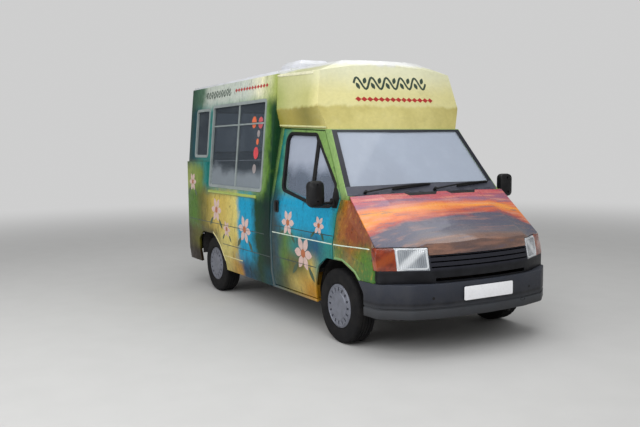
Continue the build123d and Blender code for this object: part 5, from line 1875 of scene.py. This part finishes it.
@dataclass
class Nose(Assembly):
    """Grille, lamps, bumpers and the plain front plate."""

    plate: Triple = (0.26, 0.056, 0.507)
    plate_depth: float = 0.006
    # Place, half width and half height of each hole in the bumper
    holes: tuple[tuple[float, float, float, float], ...] = (
        (-0.53, 0.488, 0.011, 0.011), (0.498, 0.483, 0.011, 0.011), (0.405, 0.386, 0.03, 0.013))
    lamp_low: Spot = (0.543, 0.722)
    lamp_high: Spot = (0.751, 0.872)
    lamp_radius: float = 0.018
    rim: tuple[Triple, ...] = ((0, 0, -0.001), (0, 0, 0.003), (1, 0, 0.004), (1, 0, -0.001))

    def build(self) -> None:
        """Dress the nose."""
        for node, finish, slot, width in (
            ("front_bumper", BUMPER_PLASTIC_AND_SHADE, "bumper_plastic", 0.01),
            ("grille", GRILLE_PLASTIC, "grille_plastic", 0.003),
            ("headlamps", LAMP_LENS, "lamp_clear", 0.004), ("indicators", ORANGE_LENS, "lamp_orange", 0.004),
            ("rear_bumper", BUMPER_PLASTIC_AND_SHADE, "bumper_plastic", 0.01),
        ):
            self.soften(node, finish, "body", slot, width)
        self.bumper_details()
        self.lamp_rims()

    def bumper_details(self) -> None:
        """Front plate, and dark patches of painted shade where the front bumper has holes."""
        bumper = self.skin("front_bumper")
        half, up, z = self.plate
        face, _ = bumper.front(0, z)
        outline = [Vector((face.x + 0.001, y, level))
                   for y, level in oblong((-half, z - up), (half, z + up), 0.012, 3)]
        board = Shape().prism(outline, Vector((self.plate_depth, 0, 0)))
        self.add(board, "front_plate", WHITE_PLATE, "body", "bumper_plastic", 0.001)
        # Painted shade: dark patches stand in for the openings of the holes
        hole_shades = Shape()
        for y, level, across, high in self.holes:
            hole_shades.join(bumper.patch(ellipse((y, level), across, high, 20), bumper.front, 0.0012))
        self.add(hole_shades, "bumper_holes", RUBBER, "body", "seal_rubber")

    def lamp_rims(self) -> None:
        """Bright rim round each headlamp."""
        lamps = self.skin("headlamps")
        rims = Shape()
        for _, sign in SIDES:
            outline = [(sign * y, z) for y, z in oblong(self.lamp_low, self.lamp_high, self.lamp_radius, 4)]
            rims.join(lamps.collar(grown(outline, -0.004), grown(outline, 0.008), lamps.front, self.rim))
        self.add(rims, "headlamp_rims", LAMP_RIM, "body", "lamp_clear")


@dataclass
class RunningGear(Assembly):
    """Wheels, tyres and everything under the floor."""

    tyre_r: float = 0.325
    track_y: float = 0.83
    steps: int = 132
    # Inner half of the tyre's section as (radius, outboard), from the bead to the shoulder
    wall: Flat = ((0.1930, -0.076), (0.1945, -0.085), (0.206, -0.0885), (0.210, -0.0915), (0.232, -0.094),
                  (0.262, -0.095), (0.282, -0.0935), (0.300, -0.090), (0.312, -0.086), (0.3205, -0.078))
    grooves: tuple[float, ...] = (-0.042, -0.014, 0.014, 0.042)
    groove_half: Spot = (0.005, 0.0035)
    groove_depth: float = 0.007
    shoulder: Spot = (0.047, 0.084)
    cut_depth: float = 0.0045
    cut_every: int = 3
    cut_from: float = 0.305
    # Half width and least radius of the middle ribs, which are turned by half a step
    middle: Spot = (0.03, 0.31)

    def build(self) -> None:
        """Dress the running gear and make the tyres."""
        self.paint(UNDERSEAL, "floor_pan", "wheel_boxes", "fuel_tank", "chassis_frame")
        self.paint(CAST, "front_suspension", "rear_axle", "engine_block", "knuckle_left", "knuckle_right")
        self.paint(DULL_STEEL, "exhaust")
        for end, x in (("front", AXLE), ("rear", AXLE - WHEELBASE)):
            for name, sign in SIDES:
                self.paint(TRIM_SILVER, f"wheel_{end}_{name}")
                self.tyre(end, name, sign, x)

    def section(self) -> Outline:
        """The tyre's section with its grooves.

        Returns:
            Its closed outline as (radius, outboard).
        """
        r, (foot, floor) = self.tyre_r, self.groove_half
        profile = [*self.wall, (r - 0.0005, -0.070), (r, -0.060)]
        for groove in self.grooves:
            profile += [(r, groove - foot), (r - self.groove_depth, groove - floor),
                        (r - self.groove_depth, groove + floor), (r, groove + foot)]
        profile += [(r, 0.060), (r - 0.0005, 0.070)]
        return profile + [(radius, -out) for radius, out in self.wall[::-1]]

    def tyre(self, end: str, name: str, sign: int, x: float) -> None:
        """One tyre with grooves round its tread and cuts across its shoulders.

        Args:
            end: front or rear.
            name: left or right.
            sign: 1 or -1.
            x: the axle's place.
        """
        rings = []
        near, far = self.shoulder
        pitch = 2 * math.pi / self.steps
        for step in range(self.steps):
            ring = []
            for radius, out in self.section():
                cut = near < abs(out) < far and radius > self.cut_from and step % self.cut_every == 0
                lead = 0.5 * pitch if abs(out) < self.middle[0] and radius > self.middle[1] else 0.0
                reach = radius - (self.cut_depth if cut else 0.0)
                turn = pitch * step + lead
                ring.append(Vector((x + reach * math.cos(turn), sign * (self.track_y + out),
                                    self.tyre_r + reach * math.sin(turn))))
            rings.append(ring)
        piece = Shape().skin(rings, True).object(f"road_tyre_{end}_{name}", TYRE_RUBBER, angle=28.0)
        self.fit(piece, f"wheel_{end}_{name}", "tyre", f"tyre_{end}_{name}")


@dataclass(frozen=True)
class Pad:
    """Crowned seat pad with drawn-in sides between its corners and two sewn channels."""

    low: Vector
    high: Vector
    lean: float
    crown: float
    cuts: int = 12
    channel_y: float = 0.55
    channel_half: float = 0.09
    channel_depth: float = 0.006

    def make(self, name: str) -> Piece:
        """Make the pad.

        Args:
            name: the piece's name.

        Returns:
            The pad.
        """
        form = bmesh.new()
        bmesh.ops.create_cube(form, size=2.0)
        bmesh.ops.subdivide_edges(form, edges=form.edges, cuts=self.cuts, use_grid_fill=True)
        for vertex in form.verts:
            vertex.co = self.moved(vertex.co)
        mesh = bpy.data.meshes.new(name)
        form.to_mesh(mesh)
        form.free()
        return finished(placed(name, mesh), SEAT_CLOTH, 0.0, 80.0, 1)

    def moved(self, c: Vector) -> Vector:
        """Place on the pad of a point on a cube.

        Args:
            c: the point, each part from -1 to 1.

        Returns:
            The place.
        """
        middle, half = (self.low + self.high) / 2, (self.high - self.low) / 2
        spot = []
        for k in range(3):
            swell = (1 - abs(c[(k + 1) % 3]) ** 3) * (1 - abs(c[(k + 2) % 3]) ** 3)
            push = self.crown * swell * math.copysign(1, c[k]) if abs(c[k]) > 0.99 else 0.0
            spot.append(middle[k] + c[k] * (half[k] - self.crown) + push)
        if abs(abs(c.y) - self.channel_y) < self.channel_half and max(abs(c.x), abs(c.z)) > 0.99:
            thin = 0 if half.x < half.z else 2
            spot[thin] -= self.channel_depth * math.copysign(1, c[thin])
        return Vector(spot) + Vector((-self.lean * (c.z + 1) / 2, 0, 0))


@dataclass
class Cabin(Assembly):
    """Seats, dashboard, steering wheel and mirrors."""

    seats: Flat = ((-0.63, -0.17), (0.13, 0.63))
    box_inset: float = 0.04
    # Ends of a head rest's stalks as (ahead, z), their distance from its middle and their radius
    stalk: Flat = ((-1.06, 1.36), (-1.075, 1.45))
    stalk_off: float = 0.06
    stalk_r: float = 0.006
    rest_half: float = 0.12
    # Corners of the mirror housing and the way inward from each, as (y, z)
    mirror_outline: Flat = ((1.0, 1.18), (1.158, 1.184), (1.158, 1.406), (1.004, 1.41))
    inward: Flat = ((1, 1), (-1, 1), (-1, -1), (1, -1))
    # Ahead and shrinkage of the mirror housing's outlines, rear to front
    mirror_rings: Flat = ((-0.128, 0.004), (-0.1, 0.0), (-0.07, 0.006), (-0.052, 0.03), (-0.046, 0.055))
    mirror_arm: tuple[Triple, ...] = ((-0.09, 1.02, 1.212), (-0.088, 0.96, 1.214), (-0.09, 0.9, 1.206))
    mirror_foot: Flat = ((-0.13, 1.19), (-0.05, 1.19), (-0.06, 1.25), (-0.11, 1.25))
    mirror_glass: Flat = ((1.016, 1.196), (1.144, 1.2), (1.144, 1.39), (1.02, 1.394))

    def build(self) -> None:
        """Make the cab's furniture."""
        self.soften("dashboard", BLACK_PLASTIC, "body", "black_plastic", 0.006)
        self.paint(BLACK_PLASTIC, "steering_wheel")
        self.seat_set()
        for name, sign in SIDES:
            self.mirror(name, sign)

    def seat_set(self) -> None:
        """Driver's and passenger's seats on their boxes."""
        boxes = Shape()
        padded = []
        for index, (y0, y1) in enumerate(self.seats):
            middle = (y0 + y1) / 2
            boxes.block(at(-1.0, y0 + self.box_inset, 0.6), at(-0.56, y1 - self.box_inset, 0.8))
            for y in (middle - self.stalk_off, middle + self.stalk_off):
                boxes.tube([at(ahead, y, z) for ahead, z in self.stalk], self.stalk_r)
            cushion = Pad(at(-1.03, y0, 0.802), at(-0.5, y1, 0.93), 0.0, 0.018)
            back = Pad(at(-1.04, y0 + 0.01, 0.915), at(-0.94, y1 - 0.01, 1.4), 0.08, 0.02)
            rest = Pad(at(-1.12, middle - self.rest_half, 1.41), at(-1.03, middle + self.rest_half, 1.56),
                       0.02, 0.015)
            padded += [cushion.make(f"seat_cushion_{index}"), back.make(f"seat_back_{index}"),
                       rest.make(f"head_rest_{index}")]
        self.add(boxes, "seat_boxes", BLACK_PLASTIC, "body", "black_plastic", 0.006, ["seats"])
        for piece in padded:
            self.fit(piece, "body", "seat_cloth", "seats")

    def mirror(self, name: str, sign: int) -> None:
        """Door mirror: rounded housing, glass and arm.

        Args:
            name: left or right.
            sign: 1 or -1.
        """
        rings = []
        for ahead, shrink in self.mirror_rings:
            outline = [(y + u * shrink, z + v * shrink)
                       for (y, z), (u, v) in zip(self.mirror_outline, self.inward)]
            rings.append([at(ahead, y, z) for y, z in rounded(outline, 0.04, 4)])
        shell = Shape().skin(rings)
        shell.tube([at(*point) for point in self.mirror_arm], 0.014, 12)
        shell.prism([at(ahead, 0.912, z) for ahead, z in self.mirror_foot], Vector((0, 0.016, 0)))
        face = [at(-0.1295, y, z) for y, z in rounded(self.mirror_glass, 0.03, 4)]
        glass = Shape().prism(face, Vector((0.003, 0, 0)))
        if sign < 0:
            shell, glass = shell.mirrored(), glass.mirrored()
        body, node = f"door_{name}", f"mirror_{name}"
        self.add(shell, f"mirror_housing_{name}", BLACK_PLASTIC, body, "black_plastic", 0.003, [node])
        self.add(glass, f"mirror_face_{name}", MIRROR_GLASS, body, "glass", 0.0, [node])


@dataclass
class ServingRoom(Assembly):
    """Counters and machine inside, seen through the windows."""

    taps: int = 3
    tap_y: float = 0.52
    tap_pitch: float = 0.1
    # Ways of a tap and of its lever as (ahead, z), and their radii
    tap: Flat = ((-2.79, 1.62), (-2.74, 1.62), (-2.72, 1.56))
    lever: Flat = ((-2.76, 1.66), (-2.75, 1.78))
    tap_r: float = 0.012
    lever_r: float = 0.006

    def build(self) -> None:
        """Dress the room."""
        self.soften("serving_units", LAMINATE, "body", "laminate", 0.006)
        taps = Shape()
        for index in range(self.taps):
            y = self.tap_y + self.tap_pitch * index
            taps.tube([at(ahead, y, z) for ahead, z in self.tap], self.tap_r, 12)
            taps.tube([at(ahead, y, z) for ahead, z in self.lever], self.lever_r)
        self.add(taps, "machine_taps", STEEL, "body", "laminate")


@dataclass
class Tail(Assembly):
    """Rear lamps, door handle and the plain rear plate."""

    # Two corners of each box as (behind the door, y, z): the handle's plate and grip, and the rear plate
    handle: tuple[tuple[Triple, Triple], ...] = (
        ((0.012, 0.02, 1.0), (0.0, 0.1, 1.06)), ((0.03, 0.03, 1.02), (0.01, 0.16, 1.04)))
    plate: tuple[tuple[Triple, Triple], ...] = (((0.006, 0.14, 0.7), (0.0, 0.66, 0.81)),)

    def build(self) -> None:
        """Dress the back."""
        self.soften("rear_lamps", RED_LENS, "body", "lamp_red", 0.004)
        door = "rear_door_left"
        self.add(self.on_door(self.handle), "rear_door_handle", BLACK_PLASTIC, door, "black_plastic", 0.003)
        self.add(self.on_door(self.plate), "rear_plate", YELLOW_PLATE, door, "bumper_plastic", 0.001)

    def on_door(self, boxes: Sequence[tuple[Triple, Triple]]) -> Shape:
        """Boxes on the rear doors' outer face.

        Args:
            boxes: two corners of each as (behind the door, y, z).

        Returns:
            The boxes.
        """
        face, _ = self.skin("rear_door_left", "rear_door_right").rear(0.3, 1.0)
        shape = Shape()
        for corners in boxes:
            shape.block(*(Vector((face.x - depth, y, z)) for depth, y, z in corners))
        return shape


@dataclass
class Studio:
    """Pale floor, soft light and the camera."""

    focal_px: float = 744.06
    picture_px: int = 640
    eye: Vector = field(default_factory=lambda: at(5.43072, -4.17990, 1.70648))
    yaw: float = 150.379
    pitch: float = -5.209
    roll: float = -0.697
    target: Vector = field(default_factory=lambda: at(-1.4, 0, 1.0))
    # Place, width and power in watts of each lamp
    lamps: tuple[tuple[str, Triple, float, float], ...] = (
        ("key", (4.5, -4.5, 5.5), 5.0, 300.0), ("fill", (-1.0, -7.0, 4.0), 5.0, 170.0),
        ("top", (-1.0, 0.5, 7.5), 7.0, 260.0))
    backdrop: float = 0.62
    ambient: float = 0.5
    glossy_drop: float = 0.26
    floor_r: float = 40.0
    floor_sides: int = 48
    fade: Spot = (5.0, 16.0)

    def build(self) -> None:
        """Set up the studio."""
        self.camera()
        self.floor()
        self.world()
        for name, spot, size, power in self.lamps:
            self.lamp(name, at(*spot), size, power)
        bpy.context.scene.view_settings.view_transform = "Standard"

    def camera(self) -> None:
        """Camera of the main view."""
        data = bpy.data.cameras.new("camera")
        data.sensor_width = 36.0
        data.lens = self.focal_px * data.sensor_width / self.picture_px
        data.clip_end = 200.0
        yaw, pitch, roll = (math.radians(v) for v in (self.yaw, self.pitch, self.roll))
        look = Vector((math.cos(yaw) * math.cos(pitch), math.sin(yaw) * math.cos(pitch), math.sin(pitch)))
        right = look.cross(Vector((0, 0, 1))).normalized()
        up = right.cross(look)
        across = right * math.cos(roll) + up * math.sin(roll)
        above = up * math.cos(roll) - right * math.sin(roll)
        thing = placed("camera", data)
        turn = Matrix((across, above, -look)).transposed().to_4x4()
        thing.matrix_world = Matrix.Translation(self.eye) @ turn
        bpy.context.scene.camera = thing

    def floor(self) -> None:
        """Pale floor that fades into the background."""
        mesh = bpy.data.meshes.new("studio_floor")
        ring = [(u, v, 0) for u, v in ellipse((0, 0), self.floor_r, self.floor_r, self.floor_sides)]
        mesh.from_pydata(ring, [], [tuple(range(self.floor_sides))])
        thing = placed("studio_floor", mesh)
        material, graph, place = opened("studio_floor")
        far = graph.node("ShaderNodeVectorMath", {"operation": "LENGTH"}, {0: place}, "Value")
        tone = graph.blend(graph.noise(place, 3.0, 4.0).rise(0.3, 0.7) * 0.3, rgb(190, 190, 189),
                           rgb(182, 182, 181))
        matt = graph.node("ShaderNodeBsdfPrincipled", {}, {"Base Color": tone, "Roughness": 0.75})
        glow = graph.node("ShaderNodeEmission", {}, {"Color": WHITE, "Strength": self.backdrop})
        mixed = graph.node("ShaderNodeMixShader", {}, {0: far.rise(*self.fade), 1: matt, 2: glow})
        graph.node("ShaderNodeOutputMaterial", {}, {"Surface": mixed})
        mesh.materials.append(material)

    def world(self) -> None:
        """Pale grey to the camera, a little darker as light and darkest in reflections."""
        world = bpy.data.worlds.new("studio")
        bpy.context.scene.world = world
        world.use_nodes = True
        graph = Graph(world.node_tree)
        ray = graph.node("ShaderNodeLightPath", output="Is Camera Ray")
        outs = ray.socket.node.outputs
        seen = ray.math("MAXIMUM", Port(graph, outs["Is Transmission Ray"]))
        shiny = Port(graph, outs["Is Glossy Ray"])
        strength = self.ambient + seen * (self.backdrop - self.ambient) - shiny * self.glossy_drop
        back = graph.node("ShaderNodeBackground", {}, {"Color": WHITE, "Strength": strength})
        graph.node("ShaderNodeOutputWorld", {}, {"Surface": back})

    def lamp(self, name: str, place: Vector, size: float, power: float) -> None:
        """Large soft lamp turned to the van's middle.

        Args:
            name: its name.
            place: where it hangs.
            size: its width.
            power: its power in watts.
        """
        data = bpy.data.lights.new(name, "AREA")
        data.size = size
        data.energy = power
        thing = placed(name, data)
        thing.location = place
        thing.rotation_euler = (self.target - place).to_track_quat("-Z", "Y").to_euler()


def main() -> None:
    """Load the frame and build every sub-assembly."""
    logging.basicConfig(level=logging.INFO, format="%(name)s: %(message)s")
    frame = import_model()
    for kind in (Coachwork, Glazing, Nose, RunningGear, Cabin, ServingRoom, Tail):
        LOG.info("building %s", kind.__name__)
        kind(frame).build()
    Studio().build()


if __name__ == "__main__":
    main()
